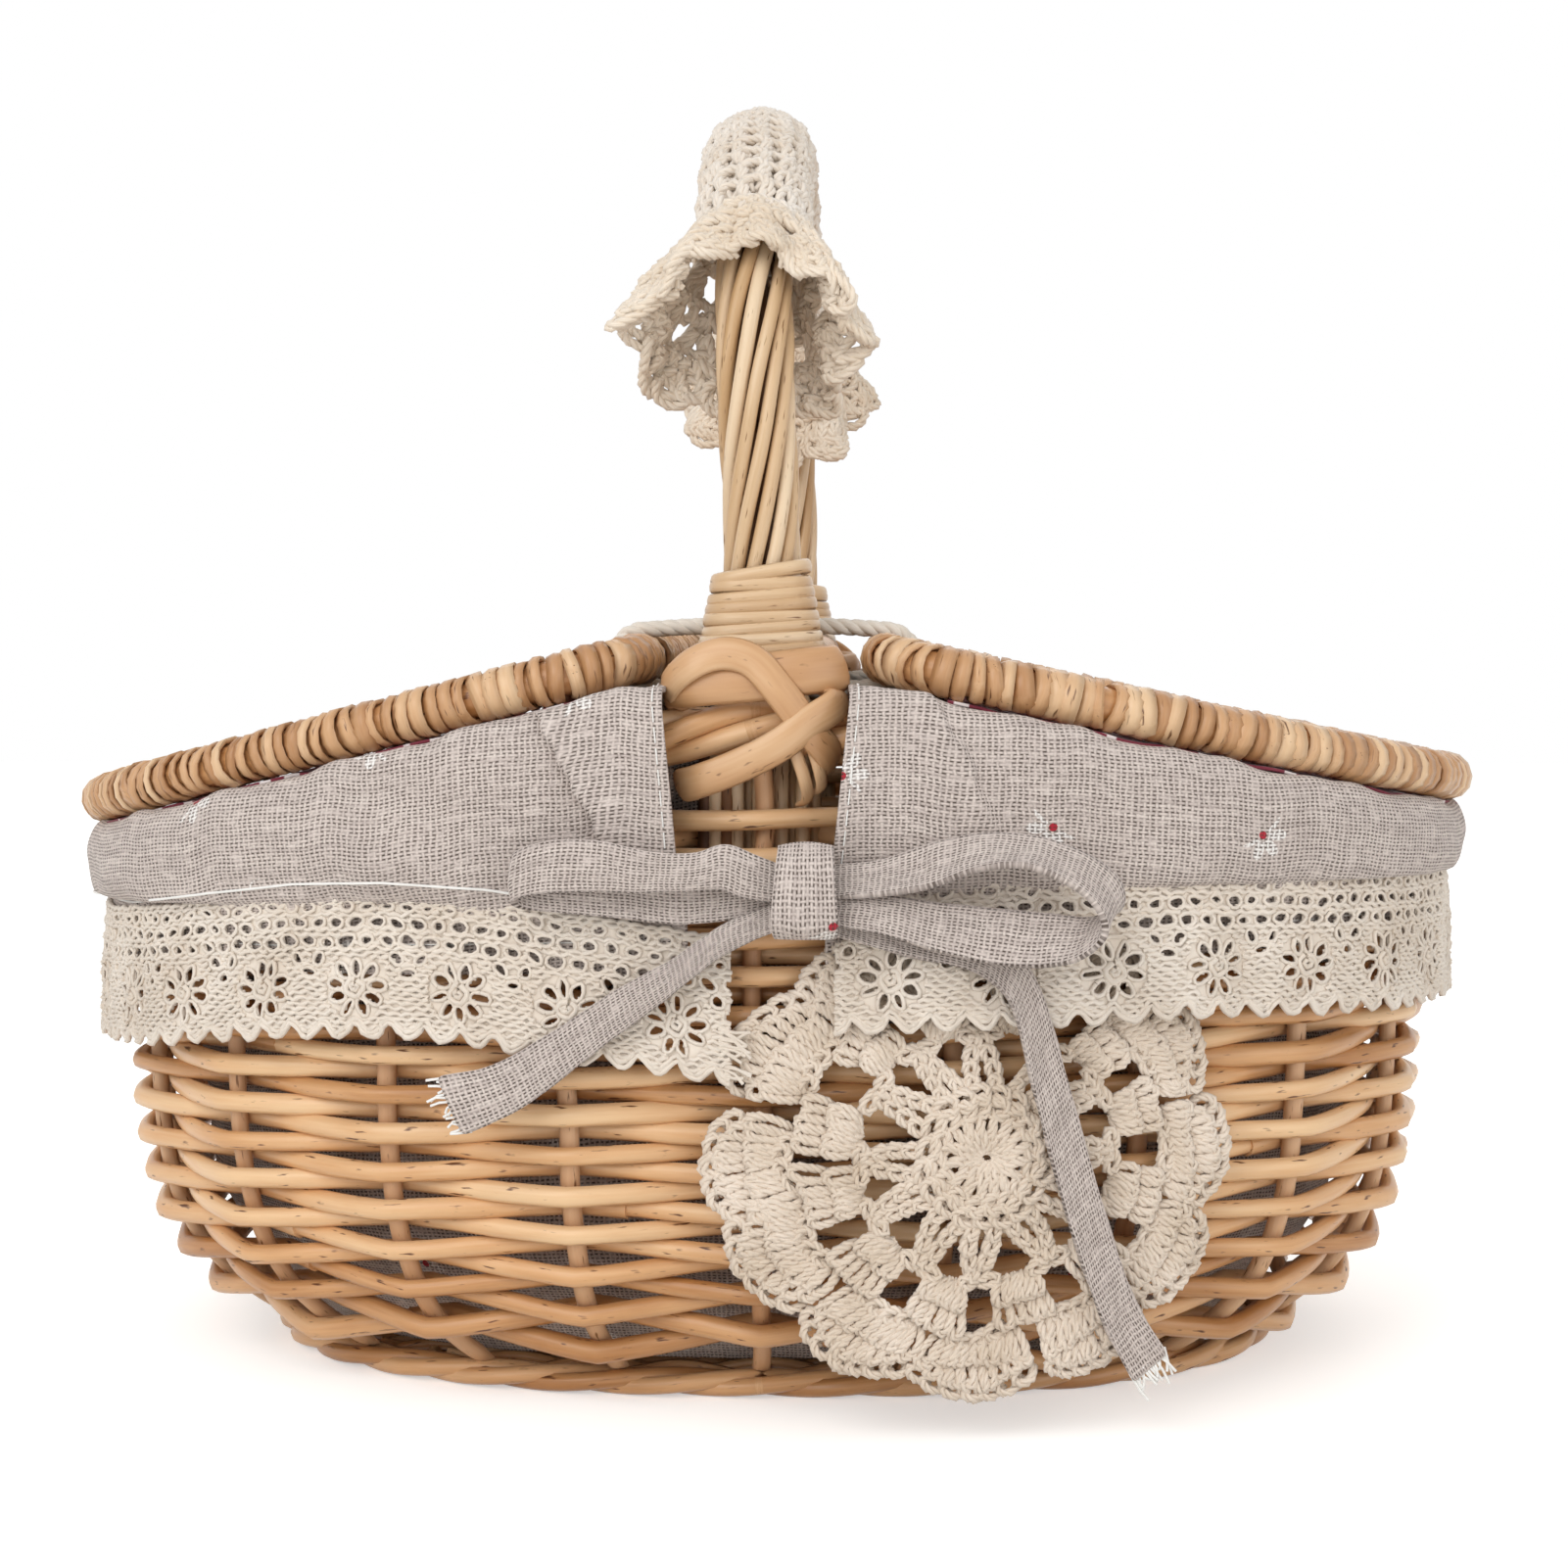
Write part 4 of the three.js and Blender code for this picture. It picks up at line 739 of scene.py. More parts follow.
lid = dict(hingeReach=28.0, halfLength=168.0, halfDepth=118.0, corner=16.0, coreGirth=4.2, turnPitch=3.4,
           turnWidth=4.4, turnThickness=1.5, turnRadius=4.95, ribGap=28.5, ribGirth=2.1, ribLeast=12, ribEnd=0.6,
           rowPitch=10.4, rowParts=(0.27, 0.73), weaverGirth=2.2, step=2.6, sway=1.35, inset=5.2, cordAt=74.0,
           cordHalf=10.0, cordRoom=14.6, bare=10.8, seed=31)
bridge = dict(halfWidth=15.0, halfThickness=5.2, halfSpan=82.8, square=0.7, steps=40, turnPitch=4.4, turnHalf=2.35,
              flatness=0.3, rodGirth=3.6, rodsAt=(-10.0, -3.4, 3.4, 10.0), seed=9)
# the cord goes round the bare core of the two hoops, side by side
cord = dict(girth=1.95, turns=3, pitch=4.3, lay=10.0, dip=7.3, dipAt=13)
hingeHeight = frame["joints"][0]["pos_m"][2] / mm


def lidSlope(side):
    return math.radians(form["slopeLeft"] if side < 0 else form["slopeRight"])


def onLid(side, local):  # x out from the hinge in the lid's plane, y along the hinge, z square to the lid
    slope = lidSlope(side)
    x, y, z = np.moveaxis(np.asarray(local, float), -1, 0)
    return np.stack([side * (lid["hingeReach"] + x * math.cos(slope) + z * math.sin(slope)), side * y,
                     hingeHeight - x * math.sin(slope) + z * math.cos(slope)], -1)


def lidEdge(side, x):  # half depth of the hoop's axis at x
    share = (lid["hingeReach"] + np.asarray(x) * math.cos(lidSlope(side))) / lid["halfLength"]
    power = form["planPower"]
    return lid["halfDepth"] * np.maximum(0, 1 - np.minimum(1, share) ** power) ** (1 / power)


def lidFar(side):
    return (lid["halfLength"] - lid["hingeReach"]) / math.cos(lidSlope(side))


def lidOutline(side):
    corner = lid["corner"]
    sideY = float(lidEdge(side, corner))
    turn = np.linspace(0, math.pi / 2, 12)
    bend = np.column_stack([corner * (1 - np.cos(turn)), -sideY + corner * (1 - np.sin(turn))])
    start = math.asin(-((sideY / lid["halfDepth"]) ** (form["planPower"] / 2)))
    arc = np.linspace(start, -start, 90)[1:-1]
    planX, planY = planPoint(arc, (lid["halfLength"], lid["halfDepth"]))
    far = np.column_stack([(planX - lid["hingeReach"]) / math.cos(lidSlope(side)), planY])
    return np.vstack([bend, far, bend[::-1] * [1, -1]])


def makeLid(name, side):
    rng = random.Random(lid["seed"] + side)
    outline = lidOutline(side)
    hoop = onLid(side, np.column_stack([outline, 0 * outline[:, 0]]))
    grow(f"{name}_hoop_core", [dict(points=hoop, girth=lid["coreGirth"], closed=True, tone=0.2)], buffWillow,
         slot="peeled_willow", body=name, Sides=10)
    # the winding leaves the core bare where the hinge cords go round
    ends = np.array([[0, np.sign(outline[0, 1]) * (lid["cordAt"] + lid["bare"]), 0]])
    within = lid["cordAt"] - lid["bare"]
    wound = [np.vstack([ends, np.column_stack([outline, 0 * outline[:, 0]]), -ends]),
             np.array([[0, -within, 0], [0, 0, 0], [0, within, 0]])]
    sizes = {key: lid["turn" + key] * mm for key in ("Pitch", "Radius", "Width", "Thickness")}
    grow(f"{name}_hoop_winding", [dict(points=onLid(side, line), girth=1.0) for line in wound], splitWillow,
         [f"{name}_hoop"], slot="peeled_willow", body=name, tree=windingTree, **sizes, Seed=lid["seed"] + side)

    far = lidFar(side)
    strands = []
    ribs = int(lid["halfDepth"] / lid["ribGap"])
    for i in range(-ribs, ribs + 1):
        y = i * lid["ribGap"]
        steps = np.linspace(0, far, 400)
        inside = steps[lidEdge(side, steps) > abs(y) + lid["inset"]]
        first = lid["cordRoom"] if abs(abs(y) - lid["cordAt"]) < lid["cordHalf"] else lid["inset"]
        if len(inside) == 0 or inside[-1] < first + lid["ribLeast"]:
            continue
        x = np.linspace(first, inside[-1] - lid["inset"] * lid["ribEnd"], 12)
        strands.append(dict(points=onLid(side, np.column_stack([x, y + 0 * x, 0 * x])), girth=lid["ribGirth"],
                            tone=rng.random()))
    # two weavers side by side in each row
    rows = range(int(far / lid["rowPitch"]) + 1)
    for i, x in [(i, (i + part) * lid["rowPitch"]) for i in rows for part in lid["rowParts"]]:
        if x < lid["inset"] or x > far - lid["inset"]:
            continue
        reach = float(lidEdge(side, max(x, lid["corner"]))) - lid["inset"]
        y = np.arange(-reach, reach, lid["step"])
        z = lid["sway"] * np.cos(math.pi * (y / lid["ribGap"] + i))
        keep = (x > lid["cordRoom"]) | (np.abs(np.abs(y) - lid["cordAt"]) > lid["cordHalf"])
        local = np.column_stack([x + wander(rng, y, 70, 0.25), y, z])
        for run in stretches(np.where(keep)[0]):
            if len(run) > 5:
                strands.append(dict(points=onLid(side, local[run]), girth=lid["weaverGirth"] * rng.uniform(0.92, 1.06),
                                    tone=rng.random()))
    grow(f"{name}_panel", strands, buffWillow, [f"{name}_weave"], body=name, Sides=8)


def makeBridge():
    rng = random.Random(bridge["seed"])
    angle = np.linspace(0, 2 * math.pi, bridge["steps"], endpoint=False)
    flat = np.column_stack(squared(angle, bridge["square"])) * [bridge["halfWidth"], bridge["halfThickness"]]
    flat *= 1 - bridge["turnHalf"] * bridge["flatness"] / np.linalg.norm(flat, axis=1, keepdims=True)
    face = unit(np.column_stack([np.cos(angle) * bridge["halfThickness"], 0 * angle,
                                 np.sin(angle) * bridge["halfWidth"]]))
    strands = []
    turns = int(2 * bridge["halfSpan"] / bridge["turnPitch"])
    for i in range(turns):
        y = (i + 0.5 - turns / 2) * bridge["turnPitch"] + rng.uniform(-0.3, 0.3)
        slant = rng.uniform(-0.5, 0.5)
        points = np.column_stack([flat[:, 0], y + slant * np.cos(angle), hingeHeight + flat[:, 1]])
        strands.append(dict(points=points, girth=bridge["turnHalf"] * rng.uniform(0.95, 1.1), tone=rng.random(),
                            closed=True, face=face))
    grow("bridge_winding", strands, splitWillow, ["bridge_bar"], Sides=6, Flatness=bridge["flatness"])
    rods = [dict(points=[(x, side * bridge["halfSpan"], hingeHeight) for side in (-1, 0, 1)],
                 girth=bridge["rodGirth"], tone=0.4) for x in bridge["rodsAt"]]
    grow("bridge_rods", rods, buffWillow, Sides=8)


def makeHingeCords(finish):
    radius = lid["coreGirth"] + form["seat"] + cord["girth"]
    lap = [(0, -radius)]
    for side in (1, -1):
        lap.append((side * cord["dipAt"], -side * cord["dip"]))
        for turn in np.linspace(-math.pi / 2, math.pi / 2, 13):
            lap.append((side * (lid["hingeReach"] + radius * math.cos(turn)), side * radius * math.sin(turn)))
        lap.append((side * cord["dipAt"], side * cord["dip"]))
    for name, side in (("front", -1), ("back", 1)):
        points = []
        for i in range(cord["turns"] * len(lap)):
            x, z = lap[i % len(lap)]
            y = side * lid["cordAt"] + cord["pitch"] * (i / len(lap) - cord["turns"] / 2)
            points.append((x, y, hingeHeight + z))
        grow(f"hinge_rope_{name}", [dict(points=points, girth=cord["girth"])], finish, [f"hinge_cord_{name}"],
             slot="cotton", tree=yarnTree, Plies=3, Sides=8, Step=1.1 * mm, Lay=cord["lay"] * mm, Spread=0.42,
             Ply=0.6)


for lidName, lidSide in (("lid_left", -1), ("lid_right", 1)):
    makeLid(lidName, lidSide)
makeBridge()
print("hamper: lids and bridge made")


# cloth: grids of points that become sheets with a little thickness and a UV map in metres

# linen: coarse plain weave of beige and grey threads with slubs and open pores, whose dark colour is painted shade,
# printed with sparse small daisies
# thread spacing 1.25 mm along and 0.85 mm across, a little coarser than the real 1.15 and 0.7 mm so that it shows
# the daisy's sizes are in millimetres from its middle, and fan is the cosine where its petals end
linen = dict(pitch=(1.25, 0.85), stray=(1.2, 0.9, 0), slim=(2.0, 0.9), over=0.22, lie=0.78, pale="#E0D4CC",
             middle="#CFC2BB", grey="#B5A8A2", poreShade="#4A3D34", print="#F4F1EE", dot="#B02536", petal=5.6, lobes=3.5,
             lobeRound=0.45, petalFrom=1.5, dotRadius=0.9, fan=-0.15, cover=0.95)


def makeLinen():
    material, add = newMaterial("plainWovenLinen")
    flat = add("ShaderNodeUVMap", uv_map="cloth")
    count = (1 / (linen["pitch"][0] * mm), 1 / (linen["pitch"][1] * mm), 1)
    threads = add("ShaderNodeVectorMath", {0: flat, 1: count}, operation="MULTIPLY")
    # each thread is a little off its line
    stray = add("ShaderNodeTexNoise", {"Vector": threads, "Scale": 0.21, "Detail": 3.0}).outputs["Color"]
    moved = add("ShaderNodeVectorMath", {0: stray, 1: linen["stray"], 2: threads}, operation="MULTIPLY_ADD")
    apart = add("ShaderNodeSeparateXYZ", {0: moved}).outputs
    waves = []
    for axis in ("X", "Y"):
        turn = add("ShaderNodeMath", {0: apart[axis], 1: math.pi}, operation="MULTIPLY")
        waves.append(add("ShaderNodeMath", {0: turn}, operation="SINE"))
    cross = add("ShaderNodeMath", {0: waves[0], 1: waves[1]}, operation="MULTIPLY")
    ridges = []
    for wave, way, slim in zip(waves, (1, -1), linen["slim"]):  # the upright threads are slimmer
        crest = add("ShaderNodeMath", {0: wave}, operation="ABSOLUTE")
        crest = add("ShaderNodeMath", {0: crest, 1: slim}, operation="POWER")
        over = add("ShaderNodeMath", {0: cross, 1: way * linen["over"], 2: linen["lie"]}, operation="MULTIPLY_ADD")
        ridges.append(add("ShaderNodeMath", {0: crest, 1: over}, operation="MULTIPLY"))
    height = add("ShaderNodeMath", {0: ridges[0], 1: ridges[1]}, operation="MAXIMUM")
    # slubs: long streaks of tone along warp and weft
    tones = []
    for stretch in ((0.9, 0.05, 1), (0.05, 0.9, 1)):
        drawn = add("ShaderNodeVectorMath", {0: threads, 1: stretch}, operation="MULTIPLY")
        tones.append(add("ShaderNodeTexNoise", {"Vector": drawn, "Scale": 1.0, "Detail": 2.0}))
    tone = add("ShaderNodeMath", {0: tones[0], 1: 0.5, 2: tones[1]}, operation="MULTIPLY_ADD")
    spread = add("ShaderNodeMapRange", {"Value": tone, "From Min": 0.42, "From Max": 1.08})
    colour = add("ShaderNodeValToRGB", {"Fac": spread}, ((0.0, linen["grey"]), (0.5, linen["middle"]),
                                                         (1.0, linen["pale"])))
    # daisies: petals in a fan round a red dot; the second UV map holds the way from the nearest one
    sprig = add("ShaderNodeUVMap", uv_map="sprig")
    away = add("ShaderNodeVectorMath", {0: sprig, "Scale": 1 / mm}, operation="SCALE")
    reach = add("ShaderNodeVectorMath", {0: away}, operation="LENGTH")
    parts = add("ShaderNodeSeparateXYZ", {0: away}).outputs
    angle = length = add("ShaderNodeMath", {0: parts["Y"], 1: parts["X"]}, operation="ARCTAN2")
    for kind, value in (("MULTIPLY", linen["lobes"]), ("COSINE", 0), ("ABSOLUTE", 0), ("POWER", linen["lobeRound"]),
                        ("MULTIPLY", linen["petal"])):
        length = add("ShaderNodeMath", {0: length, 1: value}, operation=kind)
    fan = add("ShaderNodeMath", {0: angle}, operation="COSINE")
    petals = add("ShaderNodeMath", {0: height, 1: linen["cover"]}, operation="MULTIPLY")
    for kind, value, limit in (("LESS_THAN", reach, length), ("GREATER_THAN", reach, linen["petalFrom"]),
                               ("GREATER_THAN", fan, linen["fan"])):
        within = add("ShaderNodeMath", {0: value, 1: limit}, operation=kind)
        petals = add("ShaderNodeMath", {0: petals, 1: within}, operation="MULTIPLY")
    dot = add("ShaderNodeMath", {0: reach, 1: linen["dotRadius"]}, operation="LESS_THAN")
    # pores: painted shade where the threads dip apart, some wide open, some closed
    gaps = add("ShaderNodeTexNoise", {"Vector": threads, "Scale": 0.45, "Detail": 2.0})
    gaps = add("ShaderNodeMapRange", {"Value": gaps, "From Min": 0.26, "From Max": 0.52})
    pores = add("ShaderNodeMapRange", {"Value": height, "From Min": 0.8, "From Max": 0.2})
    pores = add("ShaderNodeMath", {0: pores, 1: gaps}, operation="MULTIPLY")
    for share, paint in ((petals, "print"), (dot, "dot"), (pores, "poreShade")):
        colour = add("ShaderNodeMix", {"Factor": share, "A": colour, "B": linear(linen[paint])}, data_type="RGBA")
    return closeMaterial(material, add, colour, height, (0.95, 0.8), (0.7, 0.4), **{
        "Sheen Weight": 0.15, "Sheen Roughness": 0.5, "Specular IOR Level": 0.25})


# cotton: soft matt yarn with fine fibres that twist along it, 2 mm long, in cloudy patches of 14 mm
cotton = dict(fibres=(420.0, 2.2, 3.0), clouds=70.0, fibreShare=0.7, spread=(0.55, 1.1))


def makeCotton(name, dark, pale, sheen):
    material, add = newMaterial(name)
    tone, along, ring = strandFields(add)
    fibres = strandNoise(add, along, ring, tone, *cotton["fibres"])
    place = add("ShaderNodeTexCoord").outputs["Object"]
    cloud = add("ShaderNodeTexNoise", {"Vector": place, "Scale": cotton["clouds"]})
    mixed = add("ShaderNodeMath", {0: fibres, 1: cotton["fibreShare"], 2: cloud}, operation="MULTIPLY_ADD")
    low, high = cotton["spread"]
    spread = add("ShaderNodeMapRange", {"Value": mixed, "From Min": low, "From Max": high})
    colour = add("ShaderNodeValToRGB", {"Fac": spread}, ((0.0, dark), (1.0, pale)))
    return closeMaterial(material, add, colour, fibres, (0.78, 0.95), (0.5, 0.2), **{
        "Sheen Weight": sheen, "Sheen Roughness": 0.6, "Specular IOR Level": 0.25})


# printed lining: thin burgundy cotton with small white spots 7 mm apart and threads of 0.7 mm; cells per metre
cottonPrint = dict(spots=140.0, stray=0.55, ragged=420.0, threads=1500.0, ground="#7C2A3C", spot="#E8DFDD")


def makePrint():
    material, add = newMaterial("printedCottonLining")
    flat = add("ShaderNodeUVMap", uv_map="cloth")
    spots = add("ShaderNodeTexVoronoi", {"Vector": flat, "Scale": cottonPrint["spots"],
                                         "Randomness": cottonPrint["stray"]}, voronoi_dimensions="2D")
    ragged, fine = [add("ShaderNodeTexNoise", {"Vector": flat, "Scale": cottonPrint[key], "Detail": 2.0})
                    for key in ("ragged", "threads")]
    edge = add("ShaderNodeMath", {0: ragged, 1: 0.35, 2: spots.outputs["Distance"]}, operation="MULTIPLY_ADD")
    mark = add("ShaderNodeMapRange", {"Value": edge, "From Min": 0.46, "From Max": 0.42})
    colour = add("ShaderNodeValToRGB", {"Fac": mark}, ((0.0, cottonPrint["ground"]), (1.0, cottonPrint["spot"])))
    return closeMaterial(material, add, colour, fine, (0.75, 0.95), (0.4, 0.3), **{"Sheen Weight": 0.15})


linenCloth = makeLinen()
creamCotton = makeCotton("creamCottonYarn", "#CFBDA8", "#E9DBCC", 0.25)
woolCotton = makeCotton("softCottonYarn", "#DACBB9", "#EDE4D9", 0.3)
# a warmer copy of the grip's yarn for the frills: painted warm shade, the light that bounces inside the frill
frillShadeCotton = makeCotton("frillYarnWarmShade", "#D9C6AE", "#EDE1D1", 0.25)
laceCotton = makeCotton("bleachedCottonLace", "#D6C8B8", "#E9DFD3", 0.2)
ropeCotton = makeCotton("rawCottonRope", "#CFC6B8", "#E9E2D7", 0.2)
whiteThread = makeCotton("whiteSewingThread", "#E4E1DC", "#F6F5F2", 0.1)
printedCotton = makePrint()


def strew(rng, flat, gap):  # places and turns of the printed daisies on a flat cloth
    low, high = flat.reshape(-1, 2).min(0), flat.reshape(-1, 2).max(0)
    spots = []
    for i in range(400):
        spot = [rng.uniform(low[k], high[k]) for k in (0, 1)]
        if all(math.dist(spot, other[:2]) > gap for other in spots):
            spots.append((*spot, rng.uniform(0, 2 * math.pi)))
    return spots


def sewSheet(name, grid, flat, body, replaced, finish, thickness, level=1, closed=False, spots=(), cut=None):
    rows, columns = grid.shape[:2]
    last = columns if closed else columns - 1
    faces, corners = [], []
    for r in range(rows - 1):
        for c in range(last):
            if cut is not None and cut[r, c]:
                continue
            d = (c + 1) % columns
            faces.append((r * columns + c, r * columns + d, (r + 1) * columns + d, (r + 1) * columns + c))
            corners += [flat[r, c], flat[r, c + 1], flat[r + 1, c + 1], flat[r + 1, c]]
    mesh = bpy.data.meshes.new(name)
    used, index = np.unique(faces, return_inverse=True)
    mesh.from_pydata((grid.reshape(-1, 3)[used] * mm).tolist(), [], index.reshape(-1, 4).tolist())
    layer = mesh.uv_layers.new(name="cloth")
    layer.data.foreach_set("uv", (np.array(corners) * mm).ravel())
    if len(spots):
        spots = np.array(spots)
        way = np.array(corners)[:, None] - spots[:, :2]
        nearest = np.argmin(np.linalg.norm(way, axis=2), axis=1)
        way, turn = way[np.arange(len(way)), nearest], spots[nearest, 2]
        turned = np.column_stack([way[:, 0] * np.cos(turn) + way[:, 1] * np.sin(turn),
                                  way[:, 1] * np.cos(turn) - way[:, 0] * np.sin(turn)])
        mesh.uv_layers.new(name="sprig").data.foreach_set("uv", (turned * mm).ravel())
    mesh.polygons.foreach_set("use_smooth", [True] * len(faces))
    mesh.materials.append(finish)
    blank = bpy.data.objects.new(name + "Blank", mesh)
    scene.collection.objects.link(blank)
    if level:
        curved = blank.modifiers.new("curved", "SUBSURF")
        curved.levels = curved.render_levels = level
    thick = blank.modifiers.new("thick", "SOLIDIFY")
    thick.thickness = thickness * mm
    thick.offset = 0
    return addPiece(name, baked(blank, name), body, replaced)


# liner bag: lies against the wall inside, its top edge under the flaps

# floorParts: rings of its floor, as shares of the way out; sides: rings of its sides; notch: the cut at the handle
bag = dict(columns=168, inset=9.6, deep=3.6, floor=7.4, floorParts=(0.03, 0.3, 0.55, 0.78, 0.93), edgeUp=0.6,
           ringAt=12, sideFrom=13, sides=26, billow=1.3, notch=114.0, notchHalf=15.0, notchOver=7, under=6.0,
           daisyGap=45, thickness=0.9, seed=14)


def makeBag():
    rng = random.Random(bag["seed"])
    share = np.arange(bag["columns"]) / bag["columns"]
    angle = angleAt(share)
    run = share * rimRun[-1]
    x = planPoint(angle, rimHalf)[0]
    high = borderHeight(x) - bag["under"]
    top = bag["notch"] + (high - bag["notch"]) * smooth((np.abs(x) - bag["notchHalf"]) / bag["notchOver"])
    grid = []
    ring = 0 * x + bag["ringAt"]
    inner = wallPoint(angle, ring) - wallNormal(angle, ring) * bag["inset"]
    for part in bag["floorParts"]:
        spot = inner * [part, part, 1]
        edge = bag["edgeUp"] if part > 0.9 else 0
        spot[:, 2] = bag["floor"] + 0.5 * wander(rng, run, 90, 0.5) * part + edge
        grid.append(spot)
    for level in np.linspace(0, 1, bag["sides"]):
        height = bag["sideFrom"] + (top - bag["sideFrom"]) * level
        billow = bag["deep"] + wander(rng, run + 40 * level, 75, bag["billow"])
        push = bag["inset"] + billow * math.sin(math.pi * level)
        grid.append(wallPoint(angle, height) - wallNormal(angle, height) * push[:, None])
    grid = np.array(grid)
    depth = np.concatenate([[0], np.cumsum(np.linalg.norm(np.diff(grid, axis=0), axis=2).mean(1))])
    flat = np.stack(np.broadcast_arrays(np.append(run, rimRun[-1])[None, :], depth[:, None]), -1)
    piece = sewSheet("linen_bag", grid, flat, "basket", ["liner_bag"], linenCloth, bag["thickness"], 0, True,
                     strew(rng, flat, bag["daisyGap"]))


# flaps: the liner folded out over the border from the slit at the handle round each end

# a fold: length from the slit and height of its upper end, the same of its lower end, how far it stands off, width
flap = dict(columns=170, rows=44, thickness=0.95, hemAt=112.0, hemSlope=1.5, behind=9.0, slit=17.0, slitTop=19.5,
            slitLow=14.6, tuckDepth=15.0, puff=14.2, hemReach=8.4, billow=1.3, dense=0.62, underHoop=7.2,
            overBorder=12, foldLeft=(25, 161, 12, 128, 3.2, 7.0), foldRight=(15, 164, 30, 138, 1.8, 6.0), ruck=1.1,
            ruckPitch=4.2, ruckAt=62, ruckHalf=20, daisyGap=48, daisyClear=40, seed=17)
# rows and columns of the grid that the stitches follow; cord: along the lace's upper edge, up to cordEnd
seam = dict(girth=0.17, stitch=1.1, rows=(12, 40), column=2, proud=0.15, cordGirth=0.3, cordUp=2.4, cordEnd=-24)


def hemHeight(x):
    return flap["hemAt"] + math.tan(math.radians(flap["hemSlope"])) * x


def onRim(run, reach, height):  # a point off the border's plan line, by length along the rim
    angle = angleAt(run / rimRun[-1])
    flat = np.stack(planPoint(angle, rimHalf), -1) + planOut(angle, rimHalf) * np.asarray(reach)[..., None]
    return np.concatenate([flat, np.asarray(height)[..., None]], -1)


def rimSpan(side, slit):  # lengths along the rim from the front slit's edge round one end to the back's
    if side > 0:
        return slit, rimRun[-1] / 2 - slit
    return rimRun[-1] - slit, rimRun[-1] / 2 + slit


def crease(along, height, x0, z0, x1, z1, reach, wide):  # a fold line on the flap: one side stands over the other
    t = (height - z0) / (z1 - z0)
    off = along - (x0 + (x1 - x0) * t)
    lives = smooth((t + 0.3) / 0.35) * smooth((1.35 - t) / 0.45)
    stands = np.exp(np.minimum(off, 0) / wide) * (off < 0)
    sinks = 0.45 * np.exp(-np.maximum(off, 0) / (0.45 * wide)) * (off >= 0)
    over = np.exp(np.minimum(off, 0) / 5) * (off < 0)  # the standing side also lies over the other
    return reach * lives * (stands - sinks), reach * lives * over


def bell(values, middle, width):
    return np.exp(-((values - middle) / width) ** 2)


def flapGrid(side):
    rng = random.Random(flap["seed"] + side)
    columns, rows, puff, hemReach = (flap[key] for key in ("columns", "rows", "puff", "hemReach"))
    first, last = rimSpan(side, flap["slit"])
    share = np.linspace(0, 1, columns)
    share = share - flap["dense"] * np.sin(2 * math.pi * share) / (2 * math.pi)  # closer columns beside the slits
    middle = first + (last - first) * share
    x = planPoint(angleAt(middle / rimRun[-1]), rimHalf)[0]
    h, hem = borderHeight(x), hemHeight(x)
    lift = wander(rng, middle, 55, 0.7)
    swell = 0.9 + wander(rng, middle, 33, 1.1)  # the cloth puffs up in front of the hoop
    # the top lies close under the lid's hoop and its lining
    out = np.maximum(0, np.abs(x) * lid["halfLength"] / rimHalf[0] - lid["hingeReach"])
    top = np.minimum(h + flap["overBorder"], hingeHeight - out * math.tan(lidSlope(side)) - flap["underHoop"])
    upper, lower = [wander(rng, middle, period, flap["billow"]) for period in (60, 48)]
    # from the tuck inside to the hem: reach out from the border's plan line, and height
    profile = [(-10.6, h - flap["tuckDepth"]), (-9.8, h - 6), (-8.3, h + 1.5), (-5.4, top - 2.4), (0, top),
               (6.2, top - 0.2), (10.4, top + swell), (13.0, top - 1.2 + swell), (puff + 0.6, h + 2.0),
               (puff + upper, hem + 0.58 * (h - hem)), (puff - 2.2 + lower, hem + 0.3 * (h - hem)),
               (hemReach + 1.2 + lift, hem + 6), (hemReach, hem - 1), (hemReach - 0.3, hem - flap["behind"])]
    grid = np.zeros((rows, columns, 3))
    flat = np.zeros((rows, columns, 2))
    for c in range(columns):
        line = curveThrough([(float(np.broadcast_to(a, x.shape)[c]), float(b[c])) for a, b in profile], rows)
        reach, height = line[:, 0], line[:, 1]
        fall = np.clip((h[c] + 8 - height) / (h[c] + 8 - hem[c]), 0, 1)
        fall = np.where(reach < 0, 0, fall)
        slit = flap["slitTop"] + (flap["slitLow"] - flap["slitTop"]) * fall
        begin, end = rimSpan(side, slit)
        run = begin + (end - begin) * share[c]
        # distance from the slit's edge, on whichever side of the hamper is nearer
        edge = np.minimum(np.abs(run - begin), np.abs(end - run))
        outer = smooth((reach - 1) / 6)
        fold, lap = crease(edge, height, *flap["foldLeft" if side < 0 else "foldRight"])
        way = np.where(np.abs(run - begin) < np.abs(end - run), 1, -1)
        lap = lap * outer * way * np.sign(end - begin)
        ruck = 0
        if side < 0:
            ruck = flap["ruck"] * np.sin(height / flap["ruckPitch"] + 0.05 * run)
            ruck = ruck * bell(edge, flap["ruckAt"], flap["ruckHalf"])
        corner = 2.2 * bell(edge, 0, 5) * smooth((reach + 4) / 8)  # the cut edge stands off a little
        reach = reach + outer * (fold + ruck) + corner * 0.5
        peaks = bell(reach, 2, 7) * (1.5 * bell(edge, 0, 6) - 1.2 * bell(edge, 13, 5))
        grid[:, c] = onRim(run + lap, reach, height + peaks)
        flat[:, c, 0] = run
        flat[:, c, 1] = runOf(line) - runOf(line)[30]
    if side < 0:
        grid, flat = grid[:, ::-1], flat[:, ::-1]
    return grid, flat


# height of the lace's upper edge along the hamper
laceLine = ([-160, -148, -120, -100, -79, -57, -45, -28, -5], [109.5, 110, 115, 118, 119.2, 118, 116, 113.8, 110.5])
laceLineRight = ([5, 16, 48, 90, 130, 148, 160], [121, 122, 123.2, 124.2, 122.2, 121, 120.5])
# daisies that show at the front: across, height and turn
frontDaisies = ((-84.0, 153.5, 2.6), (-129.0, 142.0, 0.4), (11.0, 146.5, 5.4), (64.0, 135.0, 2.2),
                (110.0, 131.5, 0.9))


